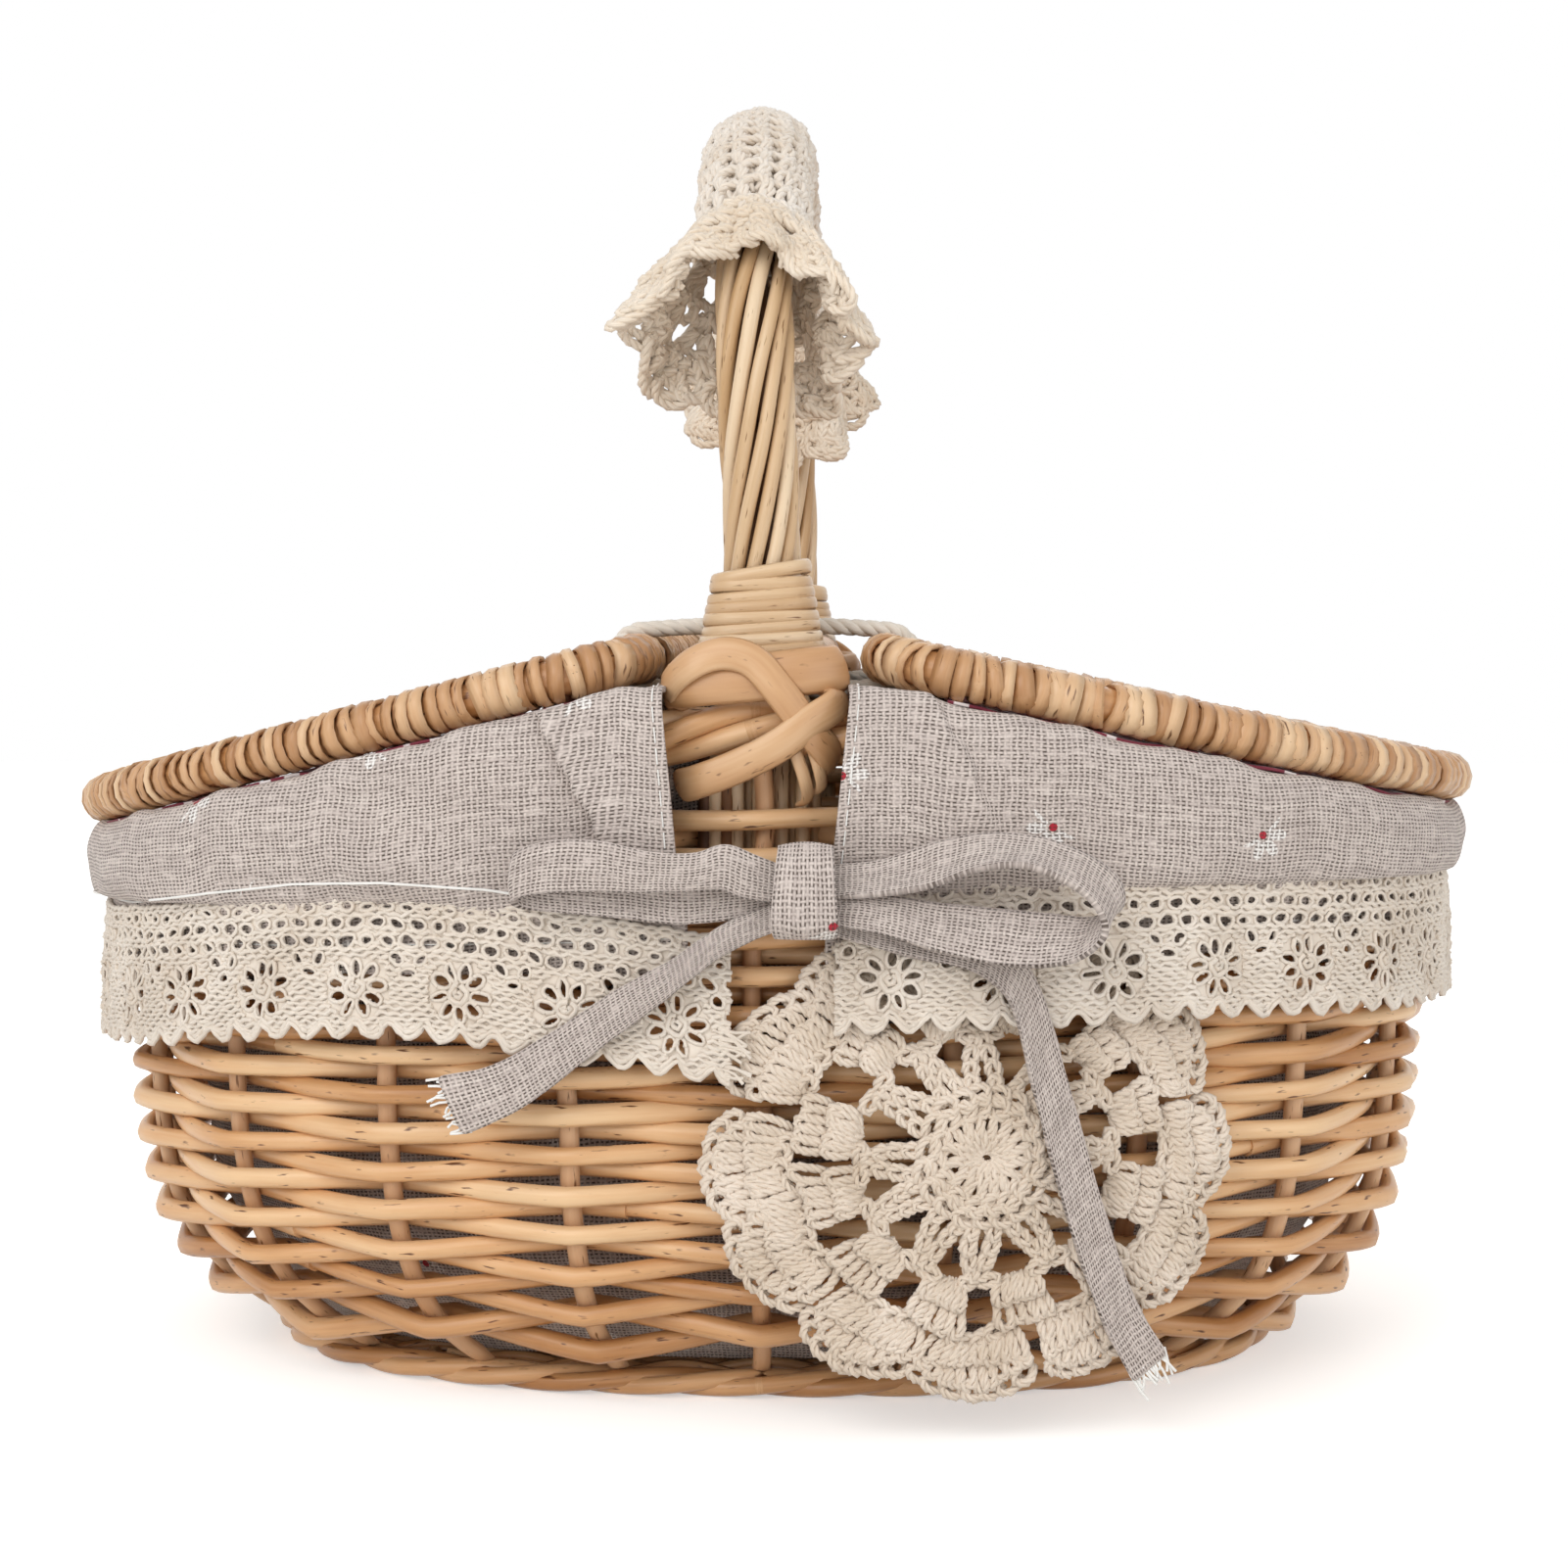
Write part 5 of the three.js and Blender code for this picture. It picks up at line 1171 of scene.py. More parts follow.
def makeFlaps():
    for name, side in (("left", -1), ("right", 1)):
        grid, flat = flapGrid(side)
        spots = []
        for x, z, turn in frontDaisies:
            if x * side > 0:
                far = np.hypot(grid[:, :, 0] - x, grid[:, :, 2] - z) + 1000 * (grid[:, :, 1] > -60)
                spots.append((*flat.reshape(-1, 2)[np.argmin(far)], turn))
        spots += [spot for spot in strew(random.Random(flap["seed"]), flat, flap["daisyGap"])
                  if all(math.dist(spot[:2], other[:2]) > flap["daisyClear"] for other in spots)]
        piece = sewSheet(f"linen_flap_{name}", grid, flat, "basket", [f"liner_flap_{name}"], linenCloth,
                         flap["thickness"], 1, spots=spots)
        # seams: a line of white stitches beside each slit edge and along the hem
        out = unit(np.cross(np.gradient(grid, axis=1), np.gradient(grid, axis=0)))
        centre = grid.mean((0, 1))
        if np.sum(out[30] * (grid[30] - centre)) < 0:
            out = -out
        face = grid + out * (flap["thickness"] / 2 + seam["proud"])
        low, high = seam["rows"]
        stitches = []
        for line in (face[low:high, seam["column"]], face[low:high, -1 - seam["column"]], face[high, 1:-1]):
            even = curveThrough(line, int(runOf(line)[-1] / seam["stitch"]))
            for i in range(0, len(even) - 3, 4):
                stitches.append(dict(points=even[i:i + 4], girth=seam["girth"], tone=0.5))
        if side < 0:  # a white cord lies along the lace's upper edge
            route = []
            for c in range(face.shape[1]):
                rows = np.where((face[:, c, 2] < 150) & (np.arange(len(face)) > 16))[0]
                level = float(np.interp(face[-1, c, 0], *laceLine)) + seam["cordUp"]
                route.append([np.interp(-level, -face[rows, c, 2], face[rows, c, k]) for k in range(3)])
            route = np.array(route)
            route = route[(route[:, 1] < 0) & (route[:, 0] < seam["cordEnd"])]
            stitches.append(dict(points=curveThrough(route, 120), girth=seam["cordGirth"], tone=0.0))
        grow(f"flap_stitches_{name}", stitches, whiteThread, slot="linen", Sides=5)


# linings under the lids, edges peeping out below the hoops

# rings: the cloth's rings of points, as shares of the way out from its middle
lining = dict(level=-6.0, peep=2.2, ruffle=1.6, droop=0.1, hang=0.9, start=14.6, hangFrom=4, hangOver=12,
              rings=(0.0005, 0.3, 0.55, 0.75, 0.88, 0.95, 0.98, 1.0), thickness=0.7, seed=23)


def makeLining(name, side):
    rng = random.Random(lining["seed"] + side)
    outline = lidOutline(side)
    run = runOf(np.vstack([outline, outline[:1]]))
    ahead = np.roll(outline, -1, axis=0) - np.roll(outline, 1, axis=0)
    out = unit(np.column_stack([ahead[:, 1], -ahead[:, 0]]))
    if np.sum(out * (outline - outline.mean(0))) < 0:
        out = -out
    edge = outline + out * (lining["peep"] + wander(rng, run[:-1], 38, lining["ruffle"]))[:, None]
    edge[:, 0] = np.maximum(edge[:, 0], lining["start"])
    centre = np.array([(lining["start"] + outline[:, 0].max()) / 2, 0])
    hang = lining["droop"] + np.maximum(0, wander(rng, run[:-1], 30, lining["hang"]))
    hang = hang * smooth((edge[:, 0] - lining["start"] - lining["hangFrom"]) / lining["hangOver"])
    grid, flat = [], []
    for part in lining["rings"]:
        spot = centre + (edge - centre) * part
        level = lining["level"] - hang * smooth((part - 0.9) / 0.1)
        grid.append(onLid(side, np.column_stack([spot, level])))
        flat.append(np.vstack([spot, spot[:1]]))
    grid = np.array(grid)
    piece = sewSheet(f"{name}_lining_cloth", grid, np.array(flat), name, [f"{name}_lining"],
                     printedCotton, lining["thickness"], 0, True)


# bow: a linen tape; each row below is one edge of the tape and the other, in millimetres

bowTape = dict(width=12.5, thickness=1.5, across=7, steps=9, curl=1.0, leastCurl=0.6, frays=15, frayLength=4.0,
               frayGirth=0.32, seed=41)
bowRoutes = dict(
    knot=[((5.5, -131, 127), (16.5, -131, 127)), ((5.2, -135, 130.4), (16.6, -135, 130.4)),
          ((4.8, -139.4, 127.6), (16.9, -139.4, 127.8)), ((4.2, -140.4, 121.5), (17.3, -140.4, 121.6)),
          ((3.8, -139.6, 115.4), (17.6, -139.6, 115.4)), ((4.4, -135.4, 112.0), (17.2, -135.4, 112.0)),
          ((5.0, -131.4, 113.4), (16.6, -131.4, 113.4))],
    loop_left=[((9, -134.5, 125.5), (9, -134.5, 118.5)), ((-0.2, -136, 129.3), (-2, -136, 120)),
               ((-6, -137.5, 131.5), (-7, -136.8, 122)), ((-12, -136.8, 129.5), (-14, -136.2, 121.6)),
               ((-22, -136.2, 129.8), (-23, -135.6, 121.2)), ((-33, -136, 132), (-33, -135.6, 121.4)),
               ((-43, -135.2, 132), (-43, -135, 121)), ((-49.6, -133, 129.8), (-50.2, -133, 119.6)),
               ((-50.6, -130.8, 127.5), (-50.8, -130.8, 117.6)), ((-45, -129.6, 126), (-45, -129.6, 116.4)),
               ((-32, -129.4, 125.5), (-31, -129.4, 115.2)), ((-18, -129.4, 124), (-17, -129.4, 113.8)),
               ((-6, -130.6, 124), (-5, -130.6, 114.8)), ((7, -132, 124.5), (7, -132, 117))],
    loop_right=[((12, -133, 126.5), (12, -135, 119.5)), ((26, -131.2, 127.4), (27, -137, 121)),
                ((37, -130.6, 131), (37, -138, 122.8)), ((48, -130.4, 133), (47, -138.5, 126.3)),
                ((58, -130.4, 132.8), (56.5, -138.5, 127.2)), ((68, -130.6, 129.8), (65, -139, 124.0)),
                ((76.3, -131, 124.5), (71.5, -139, 119.0)), ((77.6, -131.5, 118.4), (73.4, -139, 112.6)),
                ((71.6, -131.5, 115.4), (67.6, -138.5, 107.4)), ((62, -131, 116.2), (58, -137.5, 105.8)),
                ((50, -131, 117.2), (48, -137, 106.8)), ((38, -131.5, 118.6), (37, -136.5, 109.4)),
                ((27, -132, 120), (27, -135.5, 112.4)), ((12, -133, 121), (12, -134.5, 115))],
    tail_left=[((9, -133.2, 120.5), (9, -133.2, 114.6)), ((-6.5, -131.6, 113.8), (-5.5, -131.6, 108.4)),
               ((-19.1, -129.4, 105.4), (-16.0, -129.4, 100.2)), ((-31.7, -127.6, 98.2), (-27.0, -127.6, 91.8)),
               ((-44.3, -126.0, 89.6), (-39.2, -126.4, 82.2)), ((-57.0, -124.6, 82.6), (-51.0, -125.4, 73.2)),
               ((-69.0, -123.6, 79.8), (-63.4, -124.6, 67.4))],
    tail_right=[((12, -131.4, 119), (12, -131.4, 113)), ((32, -129.6, 115), (31, -130, 107.5)),
                ((47, -129.2, 112), (46, -129.4, 104)), ((56.5, -128.8, 106.6), (53, -129.2, 99.0)),
                ((61.2, -127.8, 99), (55.6, -128.4, 93.6)), ((64.4, -126.4, 88.5), (57.8, -127, 85)),
                ((69.2, -124, 71.7), (62.0, -124.6, 68)), ((75.2, -122.4, 51.0), (68.0, -123, 46.5)),
                ((81.7, -121.4, 32.0), (74.6, -122, 27.5)), ((88.9, -121, 19.9), (81.6, -121.5, 13.6))])


def makeBows():
    for place, turn in (("front", 1), ("back", -1)):
        rng = random.Random(bowTape["seed"])
        spin = np.array([turn, turn, 1])
        for part, route in bowRoutes.items():
            upper, lower = [curveThrough(edge, bowTape["steps"] * (len(route) - 1)) for edge in zip(*route)]
            share = np.linspace(0, 1, bowTape["across"])[:, None, None]
            grid = upper + (lower - upper) * share
            # the tape curls a little across and its edges waver
            middle = (upper + lower) / 2
            face = unit(np.cross(np.gradient(middle, axis=0), lower - upper))
            run = runOf(middle)
            curl = bowTape["curl"] * (1 - (2 * share - 1) ** 2)
            grid = (grid + face * curl * (bowTape["leastCurl"] + wander(rng, run, 22, 0.7))[:, None]) * spin
            flat = np.stack(np.broadcast_arrays(run[None, :] + 400 * len(part),
                                                (bowTape["width"] * share)[:, :, 0]), -1)
            piece = sewSheet(f"bow_tape_{place}_{part}", grid, flat, "basket", [f"bow_{place}_{part}"],
                             linenCloth, bowTape["thickness"], 1,
                             spots=[(0.72 * run[-1] + 1600, 11.6, 0.6) if part == "knot" else (-900, -900, 0)])
            frays = []
            if part.startswith("tail"):
                ahead = unit(grid[:, -1] - grid[:, -3])
                for i in range(bowTape["frays"]):
                    spot = grid[0, -1] + (grid[-1, -1] - grid[0, -1]) * (i + 0.5) / bowTape["frays"]
                    way = ahead[len(ahead) // 2] + np.array([rng.uniform(-0.5, 0.5) for k in range(3)]) * [1, 0.3, 1]
                    reach = bowTape["frayLength"] * rng.uniform(0.3, 1)
                    bend = np.array([rng.uniform(-1, 1), 0, rng.uniform(-1, 0.3)]) * reach * 0.35
                    frays.append(dict(points=[spot - way * 1.5, spot + way * reach * 0.5, spot + way * reach + bend],
                                      girth=bowTape["frayGirth"], tone=rng.random()))
                grow(f"bow_fray_{place}_{part}", frays, whiteThread, slot="linen", Sides=5)


makeBag()
makeFlaps()
for lidName, lidSide in (("lid_left", -1), ("lid_right", 1)):
    makeLining(lidName, lidSide)
makeBows()
makeHingeCords(ropeCotton)
print("hamper: liner, linings, bows and hinge ropes made")


# lace, rosette and grip cover: threads laid out flat (across, down, lift) and then carried onto their surface

def flatNormal(line):
    ahead = np.gradient(line, axis=0)
    return np.column_stack([-ahead[:, 1], ahead[:, 0]]) / np.linalg.norm(ahead, axis=1)[:, None]


# the yarn's way through one stitch: share of the way along it, share of its width aside, share of its rise
postRoute = ((0, -0.3, 0), (0.3, -0.5, 0.8), (0.55, -0.42, 1.0), (0.8, -0.55, 0.7), (1.0, -0.25, 0.2),
             (1.05, 0.25, 0.2), (0.8, 0.55, 0.6), (0.55, 0.42, 0.9), (0.3, 0.5, 0.7), (0, 0.3, 0))
chainRoute = np.array([(-0.2, 0.1, -0.5), (0.2, 0.45, 0.3), (0.65, 0.6, 0.9), (1.1, 0.36, 0.9), (1.22, 0, 0.6),
                       (1.1, -0.36, 0.9), (0.65, -0.6, 0.9), (0.2, -0.45, 0.3), (-0.2, -0.1, -0.5)])


def treble(start, end, wide, rise):  # a crochet post: a thin loop out and back, with a knot's bulge half way
    start, end = np.asarray(start, float), np.asarray(end, float)
    way = end - start
    side = np.array([-way[1], way[0]]) / max(1e-6, np.linalg.norm(way))
    return np.array([[*(start + way * along + side * wide * off), rise * up] for along, off, up in postRoute])


def chain(line, pitch, wide, rise):  # a crochet chain: loops that each come out of the one before
    line = np.asarray(line, float)
    even = curveThrough(line, max(12, int(runOf(line)[-1])))
    run, side = runOf(even), flatNormal(even)
    count = max(1, round(run[-1] / pitch))
    along, off, up = chainRoute.T
    loops = []
    for i in range(count):
        places = (i + along) * run[-1] / count
        flat = [np.interp(places, run, even[:, k]) + np.interp(places, run, side[:, k]) * wide * off for k in (0, 1)]
        loops.append(np.column_stack([*flat, rise * up]))
    return loops


noise.seed_set(5)  # the vector noise starts from the clock without it


def warp(points, size, reach, seed):  # the unevenness of handwork
    return points + reach * np.array([noise.noise_vector((p[0] / size, p[1] / size, seed)) for p in points])


# lace sewn along the hems: rows of eyelets, then flower wheels, in a close wavy ground with a pointed edge

lace = dict(pitch=23.0, height=32.0, girth=0.62, reach=10.1, flare=0.9, gap=4.6, wheelAt=20.8, wheel=6.9, petals=9,
            petalAt=4.6, row=1.08, wave=2.9, step=0.95, point=7.667, frontLeft=5.5, frontRight=16.6, back=17.0,
            overRosette=3.0, edgeAt=28.6, edgeDeep=3.2, ground=(0.9, 0.8), warp=(3.2, 0.65, 0.5), frays=14, seed=51)
# level, shift along, half width and half height of each row of eyelets
eyelets = ((3.0, 0.0, 1.25, 0.85), (6.7, 0.5, 1.5, 1.15), (10.7, 0.0, 1.65, 1.25))


def laceEdge(along):
    return lace["edgeAt"] + lace["edgeDeep"] * np.abs(np.cos(math.pi * along / lace["point"])) ** 1.3


def laceHoles(rng, length):  # across, down, half width, half height, turn
    holes = []
    for k in range(-1, int(length / lace["pitch"]) + 2):
        start = k * lace["pitch"]
        for level, shift, wide, high in eyelets:
            for i in range(round(lace["pitch"] / lace["gap"])):
                size = rng.uniform(0.75, 1.15)
                holes.append((start + (i + shift) * lace["gap"], level + rng.uniform(-0.3, 0.3), wide * size,
                              high * size, rng.uniform(-0.4, 0.4)))
        for off, level in ((-2.6, 14.4), (2.6, 14.4), (0, 17.6)):
            holes.append((start + off, level, 1.35, 1.0, -0.3 * off))
        for i in range(lace["petals"]):
            turn = 2 * math.pi * (i + 0.3 * k + rng.uniform(-0.1, 0.1)) / lace["petals"]
            holes.append((start + lace["pitch"] / 2 + lace["petalAt"] * math.sin(turn),
                          lace["wheelAt"] - lace["petalAt"] * math.cos(turn), 1.1 * rng.uniform(0.7, 1.1), 1.9, turn))
    return np.array(holes)


def holeShare(hole, across, down, margin=0.0):  # 1 at the edge of a hole and less inside it
    x, y, wide, high, turn = hole
    a, b = across - x, down - y
    u, v = a * math.cos(turn) + b * math.sin(turn), b * math.cos(turn) - a * math.sin(turn)
    return (u / (wide + margin)) ** 2 + (v / (high + margin)) ** 2


def laceGround(holes, length):  # the closed cloth behind the threads, cut away at the holes and below the points
    s, down = np.arange(0, length, lace["ground"][0]), np.arange(0.3, lace["height"], lace["ground"][1])
    across, level = np.meshgrid((s[1:] + s[:-1]) / 2, (down[1:] + down[:-1]) / 2)
    cut = level > laceEdge(across) - 0.6
    for hole in holes:
        cut |= holeShare(hole, across, level) < 1
    across, level = np.meshgrid(s, down)
    return np.stack([across, level, 0 * across - 0.45], -1), cut


def laceThreads(rng, holes, length):
    threads = []
    s = np.arange(0, length, lace["step"])
    middle = (np.floor(s / lace["pitch"]) + 0.5) * lace["pitch"]
    for j in range(int(lace["height"] / lace["row"])):
        level = 0.5 + j * lace["row"]
        angle = 2 * math.pi * s / lace["wave"] + math.pi * j
        line = np.column_stack([s, level + 0.32 * np.sin(angle), 0.3 * np.cos(angle)])
        keep = (line[:, 1] < laceEdge(s) - 0.5) & (np.hypot(s - middle, line[:, 1] - lace["wheelAt"]) > lace["wheel"])
        for hole in holes[np.abs(holes[:, 1] - level) < 3]:
            close = np.where(np.abs(s - hole[0]) < 4)[0]
            keep[close[holeShare(hole, s[close], line[close, 1], 0.2) < 1]] = False
        threads += [(line[piece], 1.0) for piece in stretches(np.where(keep)[0])]
    around = np.linspace(0, 2 * math.pi, 10)
    for x, y, wide, high, turn in holes:
        u, v = (wide + 0.25) * np.cos(around), (high + 0.25) * np.sin(around)
        ring = [x + u * math.cos(turn) - v * math.sin(turn), y + u * math.sin(turn) + v * math.cos(turn)]
        threads.append((np.column_stack([*ring, 0.15 * np.cos(3 * around)]), 0.85))
    for k in range(-1, int(length / lace["pitch"]) + 2):
        for radius, lift in ((0.8, 0.5), (1.9, 0.3)):
            turn = np.arange(0, 2 * math.pi + 0.2, lace["step"] / radius)
            swell = radius + 0.2 * np.sin(turn * radius * 2.2)
            threads.append((np.column_stack([(k + 0.5) * lace["pitch"] + swell * np.sin(turn),
                                             lace["wheelAt"] - swell * np.cos(turn), lift + 0 * turn]), 1.2))
    for inset, thick in ((0, 1.3), (1.1, 1.1)):
        threads.append((np.column_stack([s, laceEdge(s) - inset, 0.3 * np.sin(4 * s)]), thick))
    kept = []
    for points, thick in threads:
        for piece in stretches(np.where((points[:, 0] >= 0) & (points[:, 0] <= length))[0]):
            if len(piece) > 2:
                kept.append((warp(points[piece], *lace["warp"]), thick * rng.uniform(0.9, 1.12)))
    return kept


def makeLace():
    for name, side in (("left", -1), ("right", 1)):
        rng = random.Random(lace["seed"] + side)
        start = rimRun[-1] - lace["frontLeft"] if side < 0 else lace["frontRight"]
        end = rimRun[-1] / 2 - side * lace["back"]
        length = abs(end - start)
        ripple = np.linspace(0, length, 200)
        wave = wander(rng, ripple, 44, 0.9)

        def onSkirt(flat):
            run = start + side * flat[:, 0]
            x, y = planPoint(angleAt(run / rimRun[-1]), rimHalf)
            upper = np.interp(x, *(laceLine if side < 0 else laceLineRight))
            out = lace["reach"] + lace["flare"] * flat[:, 1] / lace["height"] + flat[:, 2]
            out = out + np.interp(flat[:, 0], ripple, wave) * smooth(flat[:, 1] / 14)
            if side > 0:  # it lies over the rosette's upper edge
                out = out + lace["overRosette"] * np.exp(-((x - 52) / 50) ** 4) * smooth(flat[:, 1] / 12) * (y < 0)
            return onRim(run, out, upper - flat[:, 1])

        holes = laceHoles(rng, length)
        ground, cut = laceGround(holes, length)
        bent = warp(ground.reshape(-1, 3), *lace["warp"]) * [1, 1, 0.4] + [0, 0, -0.3]
        grid = onSkirt(np.clip(bent, [0, 0, -9], [length, 99, 9])).reshape(ground.shape)
        strands = [dict(points=onSkirt(points), girth=lace["girth"] * thick, tone=rng.random())
                   for points, thick in laceThreads(rng, holes, length)]
        if side < 0:  # cut threads fray at the end under the bow
            for i in range(lace["frays"]):
                down = rng.uniform(16, 31)
                flat = np.array([[2.5, down, 0], [-1, down + rng.uniform(0, 2), 0.6],
                                 [-2 - rng.uniform(0, 3), down + rng.uniform(0, 4), 1]])
                strands.append(dict(points=onSkirt(flat), girth=0.4, tone=rng.random()))
        grow(f"cotton_lace_{name}", strands, laceCotton, [f"lace_trim_{name}"], slot="cotton", Sides=4)
        piece = sewSheet(f"lace_ground_{name}", grid, ground[:, :, :2], "basket", (), laceCotton, 0.5, 0,
                         cut=cut)


# rosette: crocheted hub, spokes of chain, blocks and shells, hung from behind the lace
# radii from its middle; arch and scallop: radius at the ends, radius or rise at the crown, half width

rosette = dict(centre=(49.6, 62.8), left=1.15, stretchFrom=26.0, girth=1.08, off=8.6, repeats=12, hub=16, hubReach=9.8,
               rings=((10.6, 4.2), (13.2, 4.4)), spokeFrom=14.0, spokeBend=20.5, node=27.0, arch=(38.2, 40.2, 6.2),
               scallop=(46.0, 5.4, 10.6), picot=(50.2, 53.4), post=(4.6, 2.2, 2.0), warp=(11.0, 1.5, 0.7), sag=0.6,
               tuck=1.4, tuckFrom=82, tuckOver=10, seed=61)
# rows of posts: count, radius and half width at the inner and outer ends, and how far each end of the row droops
blockRows = ((5, 27.8, 2.9, 33.2, 4.0, 0.0, 0.0), (5, 32.8, 3.8, 38.4, 5.0, 0.0, 0.4))
shellRows = ((10, 40.0, 7.2, 45.6, 9.8, 1.8, 1.6), (10, 45.0, 8.6, 51.0, 10.2, 2.2, 5.6))


def makeRosette():
    rng = random.Random(rosette["seed"])
    at = lambda r, turn: np.array([r * math.sin(turn), r * math.cos(turn)])
    near = lambda reach: np.array([rng.uniform(-reach, reach), rng.uniform(-reach, reach)])
    repeats, node = rosette["repeats"], rosette["node"]
    threads = []

    def posts(rows, turn):
        along, out = at(1, turn + math.pi / 2), at(1, turn)
        for count, low, half, high, wider, sink, droop in rows:
            for j in range(count):
                off = 2 * j / (count - 1) - 1
                pitch, wide, rise = rosette["post"]
                threads.extend(chain([out * (low - sink * off * off) + along * half * off + near(0.3),
                                      out * (high - droop * off * off) + along * wider * off + near(0.5)],
                                     pitch, wide * rng.uniform(0.85, 1.2), rise))

    for i in range(rosette["hub"]):
        turn = 2 * math.pi * (i + rng.uniform(-0.12, 0.12)) / rosette["hub"]
        threads.append(treble(at(0.7, turn), at(rosette["hubReach"] + rng.uniform(-0.5, 0.5), turn), 3.3, 1.8))
    for radius, pitch in rosette["rings"]:
        ring = [at(radius + 0.5 * math.cos(7 * t), t) for t in np.linspace(0, 2 * math.pi, 60)]
        threads.extend(chain(ring, pitch, 3.5, 1.4))
    for k in range(repeats):
        turn = 2 * math.pi * (k + rng.uniform(-0.1, 0.1)) / repeats
        along, out = at(1, turn + math.pi / 2), at(1, turn)
        for beside in (-1, 1):  # two chains that meet at the node, and go on along the ring to the blocks
            threads.extend(chain([out * rosette["spokeFrom"] + along * 2.6 * beside,
                                  out * rosette["spokeBend"] + along * 2.0 * beside + near(0.4),
                                  out * node + along * 0.8 * beside], 3.5, 1.9, 0.9))
            threads.extend(chain([out * (node + 0.4), out * (node + 0.2) + along * 4.4 * beside], 3.8, 2.0, 0.9))
        posts(shellRows, turn)
        low, high, half = rosette["arch"]
        threads.extend(chain([out * low - along * half, out * high, out * low + along * half], 3.4, 2.2, 1.0))
        low, high, half = rosette["scallop"]
        scallop = [out * (low + high * math.cos(p)) + along * half * math.sin(p) for p in np.linspace(-1.6, 1.6, 18)]
        threads.extend(chain(scallop, 3.9, 3.0, 1.5))
        low, high = rosette["picot"]
        threads.append(treble(out * low, out * high + along * rng.uniform(-1, 1), 3.0, 1.4))
        posts(blockRows, turn + math.pi / repeats)

    def hang(flat):
        flat = warp(flat, *rosette["warp"])
        beyond = np.maximum(0, np.hypot(flat[:, 0], flat[:, 1]) / rosette["stretchFrom"] - 1)
        x = flat[:, 0] * np.where(flat[:, 0] < 0, 1 + (rosette["left"] - 1) * smooth(beyond), 1) + rosette["centre"][0]
        z = flat[:, 1] + rosette["centre"][1]
        share = np.clip(np.abs(x) / rimHalf[0], 0, 0.99)
        y = -rimHalf[1] * (1 - share ** form["planPower"]) ** (1 / form["planPower"])
        sag = rosette["sag"] * np.sin(x / 7.0) * np.cos(z / 9.0)
        tuck = rosette["tuck"] * smooth((z - rosette["tuckFrom"]) / rosette["tuckOver"])
        return np.column_stack([x, y - rosette["off"] + tuck - flat[:, 2] - sag, z])

    strands = [dict(points=hang(points), girth=rosette["girth"] * rng.uniform(0.92, 1.1), tone=rng.random())
               for points in threads]
    grow("crocheted_rosette", strands, creamCotton, ["crochet_rosette"], slot="cotton", tree=yarnTree, Plies=3,
         Sides=4, Step=1.25 * mm, Lay=6.2 * mm, Spread=0.54, Ply=0.56)


# grip cover: a crocheted sleeve on the handle with an open frill of posts, rings and shells at each end
# frill: reach from the handle's axis and length along it, outside the arch, at its sides and under it

grip = dict(half=86.0, radius=10.7, press=0.86, columns=16, stitch=6.2, girth=1.28, around=24.0, deep=30.0, shells=13,
            posts=12, endLeft=28.0, endRight=22.5, endOut=17.0, endUnder=22.0, lengthOut=13.0, lengthSide=26.0,
            lengthUnder=42.0, sag=3.0, ripple=3.2, waves=8, postRows=((0.5, 11.0), (13.0, 20.5)),
            rings=(0.0, 12.0, 21.2), shellFrom=22.0, shellTo=29.2, scallop=(23.8, 5.4, 5.2), warp=(7.0, 1.0, 0.2),
            frillWarp=(8.0, 1.2), core=(90, 24), coreIn=1.0, seed=71)
gripYarn = dict(Plies=3, Sides=4, Step=1.4 * mm, Lay=7.5 * mm, Spread=0.5, Ply=0.58)


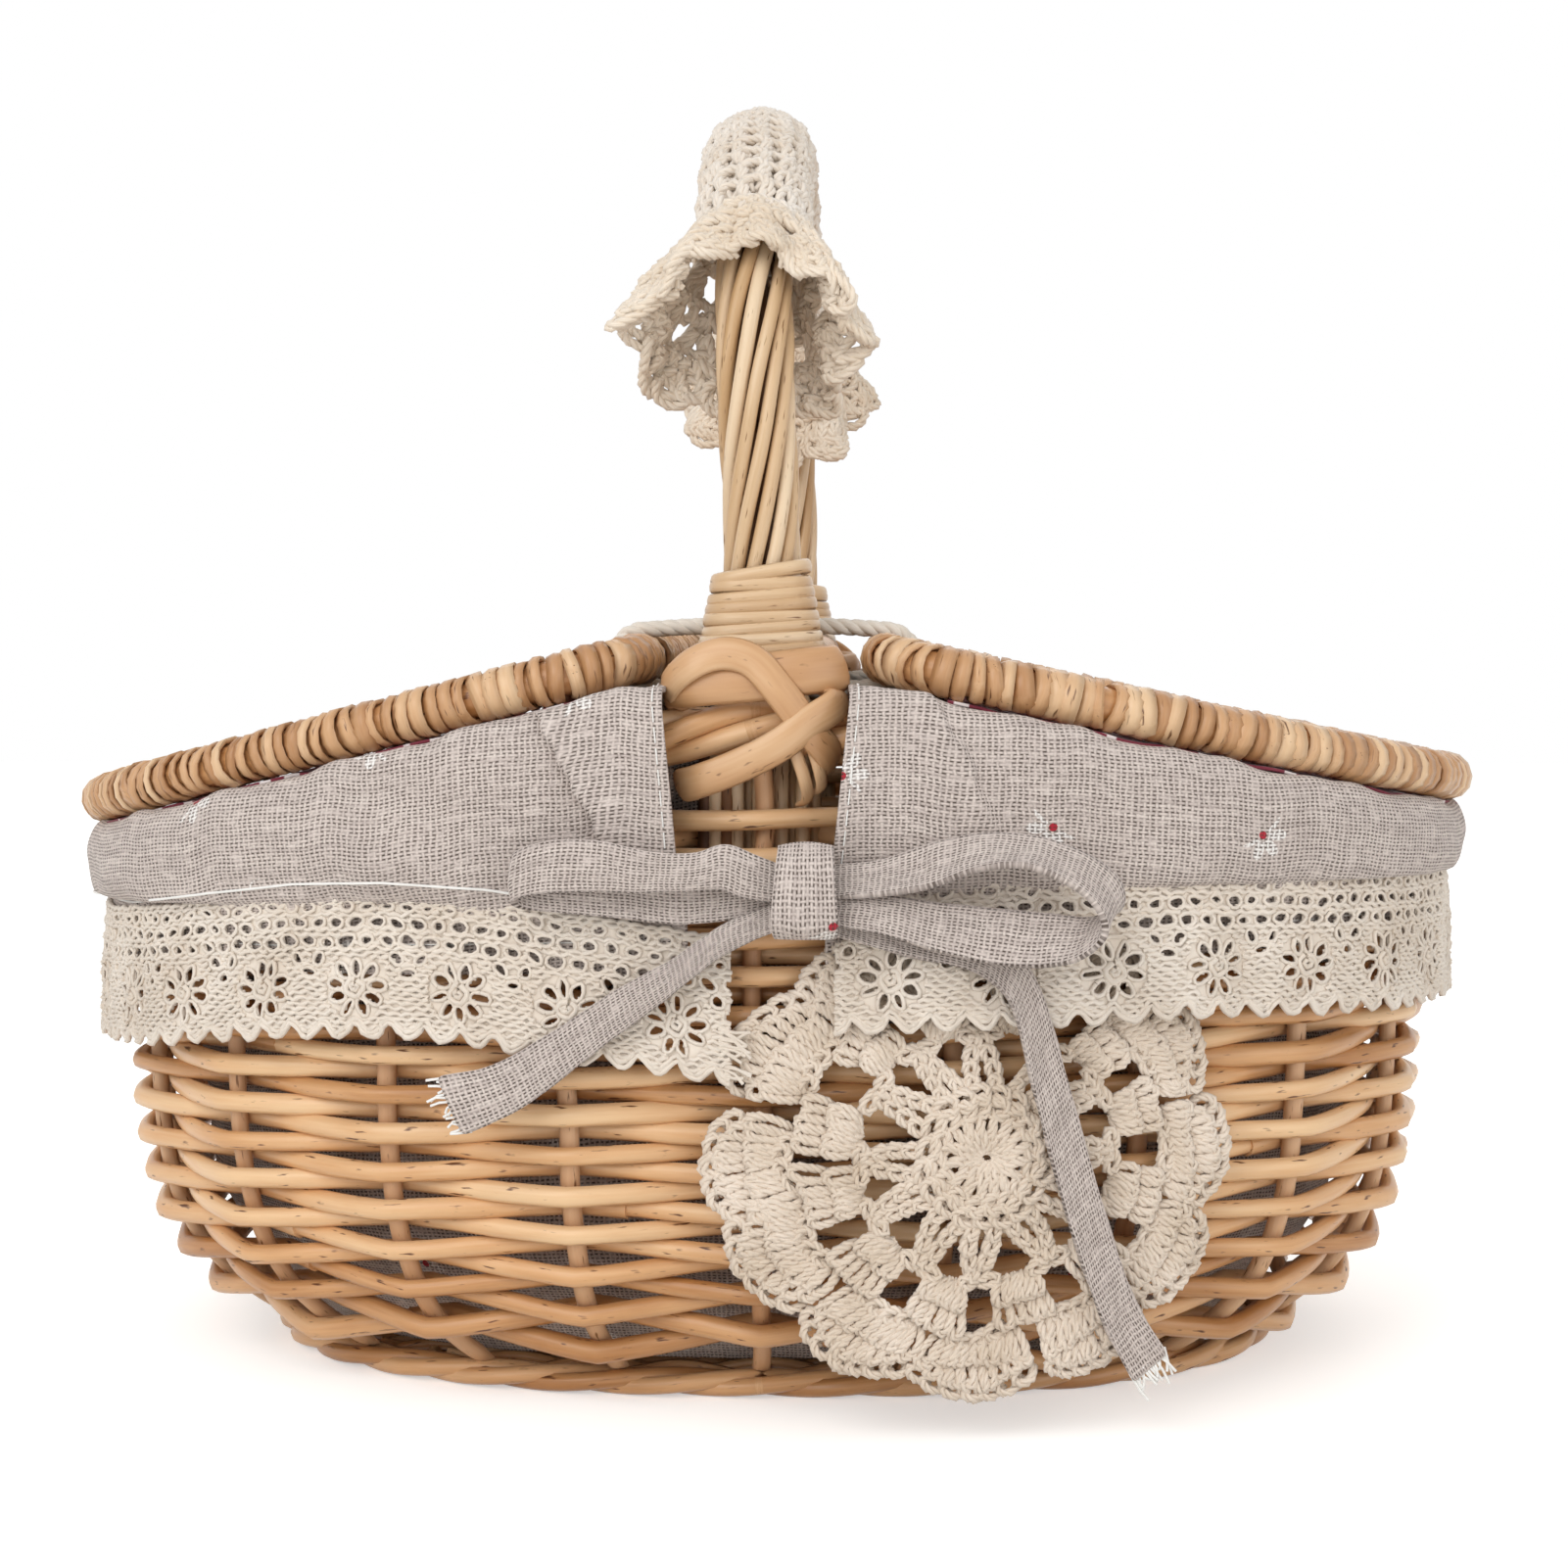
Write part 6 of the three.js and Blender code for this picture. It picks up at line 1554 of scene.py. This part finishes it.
def makeGrip():
    rng = random.Random(grip["seed"])
    girdle = 2 * math.pi * grip["radius"]

    def onArch(length, turn, radius):  # the cover is pressed a little flat on top of the handle
        centre, out = handleAt(length)
        s = np.sin(turn)
        spot = centre + out * (radius * s * np.where(s > 0, grip["press"], 1))[:, None]
        spot[:, 0] += radius * np.cos(turn)
        return spot

    def onSleeve(flat):  # across is along the round, down is along the handle
        return onArch(flat[:, 1], flat[:, 0] / grip["radius"], grip["radius"] + flat[:, 2])

    threads = []
    for i in range(grip["columns"]):
        start = -grip["half"] - rng.uniform(0, grip["stitch"])
        line = np.arange(start, grip["half"] + 1, 10.0)
        across = girdle * i / grip["columns"] + 1.2 * np.sin(line / 17.0 + i)
        threads += chain(np.column_stack([across, line]), grip["stitch"], 5.2, 1.7)
    strands = [dict(points=onSleeve(warp(points, *grip["warp"])), girth=grip["girth"] * rng.uniform(0.92, 1.1),
                    tone=rng.random()) for points in threads]
    grow("crocheted_grip", strands, woolCotton, ["grip_cover"], slot="cotton", tree=yarnTree, **gripYarn)

    def onFrill(end, flat):  # across is round the handle, down is from the sleeve to the edge
        turn, share = flat[:, 0] / grip["around"], np.maximum(0, flat[:, 1] / grip["deep"])
        c, s = np.cos(turn), np.sin(turn)
        far = c * c * grip["lengthSide"] + s * s * np.where(s > 0, grip["lengthOut"], grip["lengthUnder"])
        wide = c * c * np.where(c < 0, grip["endLeft"], grip["endRight"])
        wide = wide + s * s * np.where(s > 0, grip["endOut"], grip["endUnder"])
        radius = grip["radius"] + (wide - grip["radius"]) * share
        radius = radius + grip["ripple"] * share ** 1.5 * np.cos(grip["waves"] * turn + 1.1) + flat[:, 2]
        spot = onArch(end * (grip["half"] - 1 + far * share), turn, radius)
        spot[:, 2] -= grip["sag"] * share ** 2
        return spot

    rounds = 2 * math.pi * grip["around"]
    for name, end in (("front", -1), ("back", 1)):
        threads = []
        for low, high in grip["postRows"]:
            for i in range(grip["posts"]):
                across = rounds * (i + (0.5 if low > 1 else 0) + rng.uniform(-0.15, 0.15)) / grip["posts"]
                for beside in (-1, 1):
                    threads += chain([(across + 0.5 * beside, low), (across + 3.6 * beside, high)], 5.0, 1.8, 1.0)
        for level in grip["rings"]:
            wave = np.linspace(0, rounds, 90)
            threads += chain(np.column_stack([wave, level + 0.9 * np.sin(wave / 6)]), 6.0, 3.6, 1.6)
        for i in range(grip["shells"]):
            across = rounds * (i + rng.uniform(-0.1, 0.1)) / grip["shells"]
            for j in (-1, 0, 1):
                deep = grip["shellTo"] - 0.9 * abs(j) + rng.uniform(-0.6, 0.6)
                threads += chain([(across + 2.0 * j, grip["shellFrom"]), (across + 3.4 * j, deep)], 4.6, 3.6, 2.2)
            low, rise, half = grip["scallop"]
            scallop = [(across + half * math.sin(p), low + rise * math.cos(p)) for p in np.linspace(-1.4, 1.4, 12)]
            threads += chain(scallop, 5.4, 3.8, 2.2)
        # the frill's yarn is the warmer copy: painted warm shade
        strands = [dict(points=onFrill(end, warp(points, *grip["frillWarp"], 0.4 + end)),
                        girth=grip["girth"] * rng.uniform(0.95, 1.12), tone=rng.random()) for points in threads]
        grow(f"grip_frill_{name}", strands, frillShadeCotton, slot="cotton", tree=yarnTree, **gripYarn)
    # knitted core under the stitches, so that the sleeve is closed
    rows, columns = grip["core"]
    length = np.linspace(-grip["half"] - 2, grip["half"] + 2, rows)
    across = np.linspace(0, girdle, columns, endpoint=False)
    grid = np.array([onSleeve(np.column_stack([across, 0 * across + one, 0 * across - grip["coreIn"]]))
                     for one in length])
    flat = np.stack(np.broadcast_arrays((np.arange(columns + 1) * 3.2)[None, :], length[:, None]), -1)
    piece = sewSheet("grip_sleeve", grid, flat, "basket", (), woolCotton, 0.8, 0, True)


makeLace()
makeRosette()
makeGrip()
print("hamper: lace, rosette and grip cover made")


print("hamper: done")
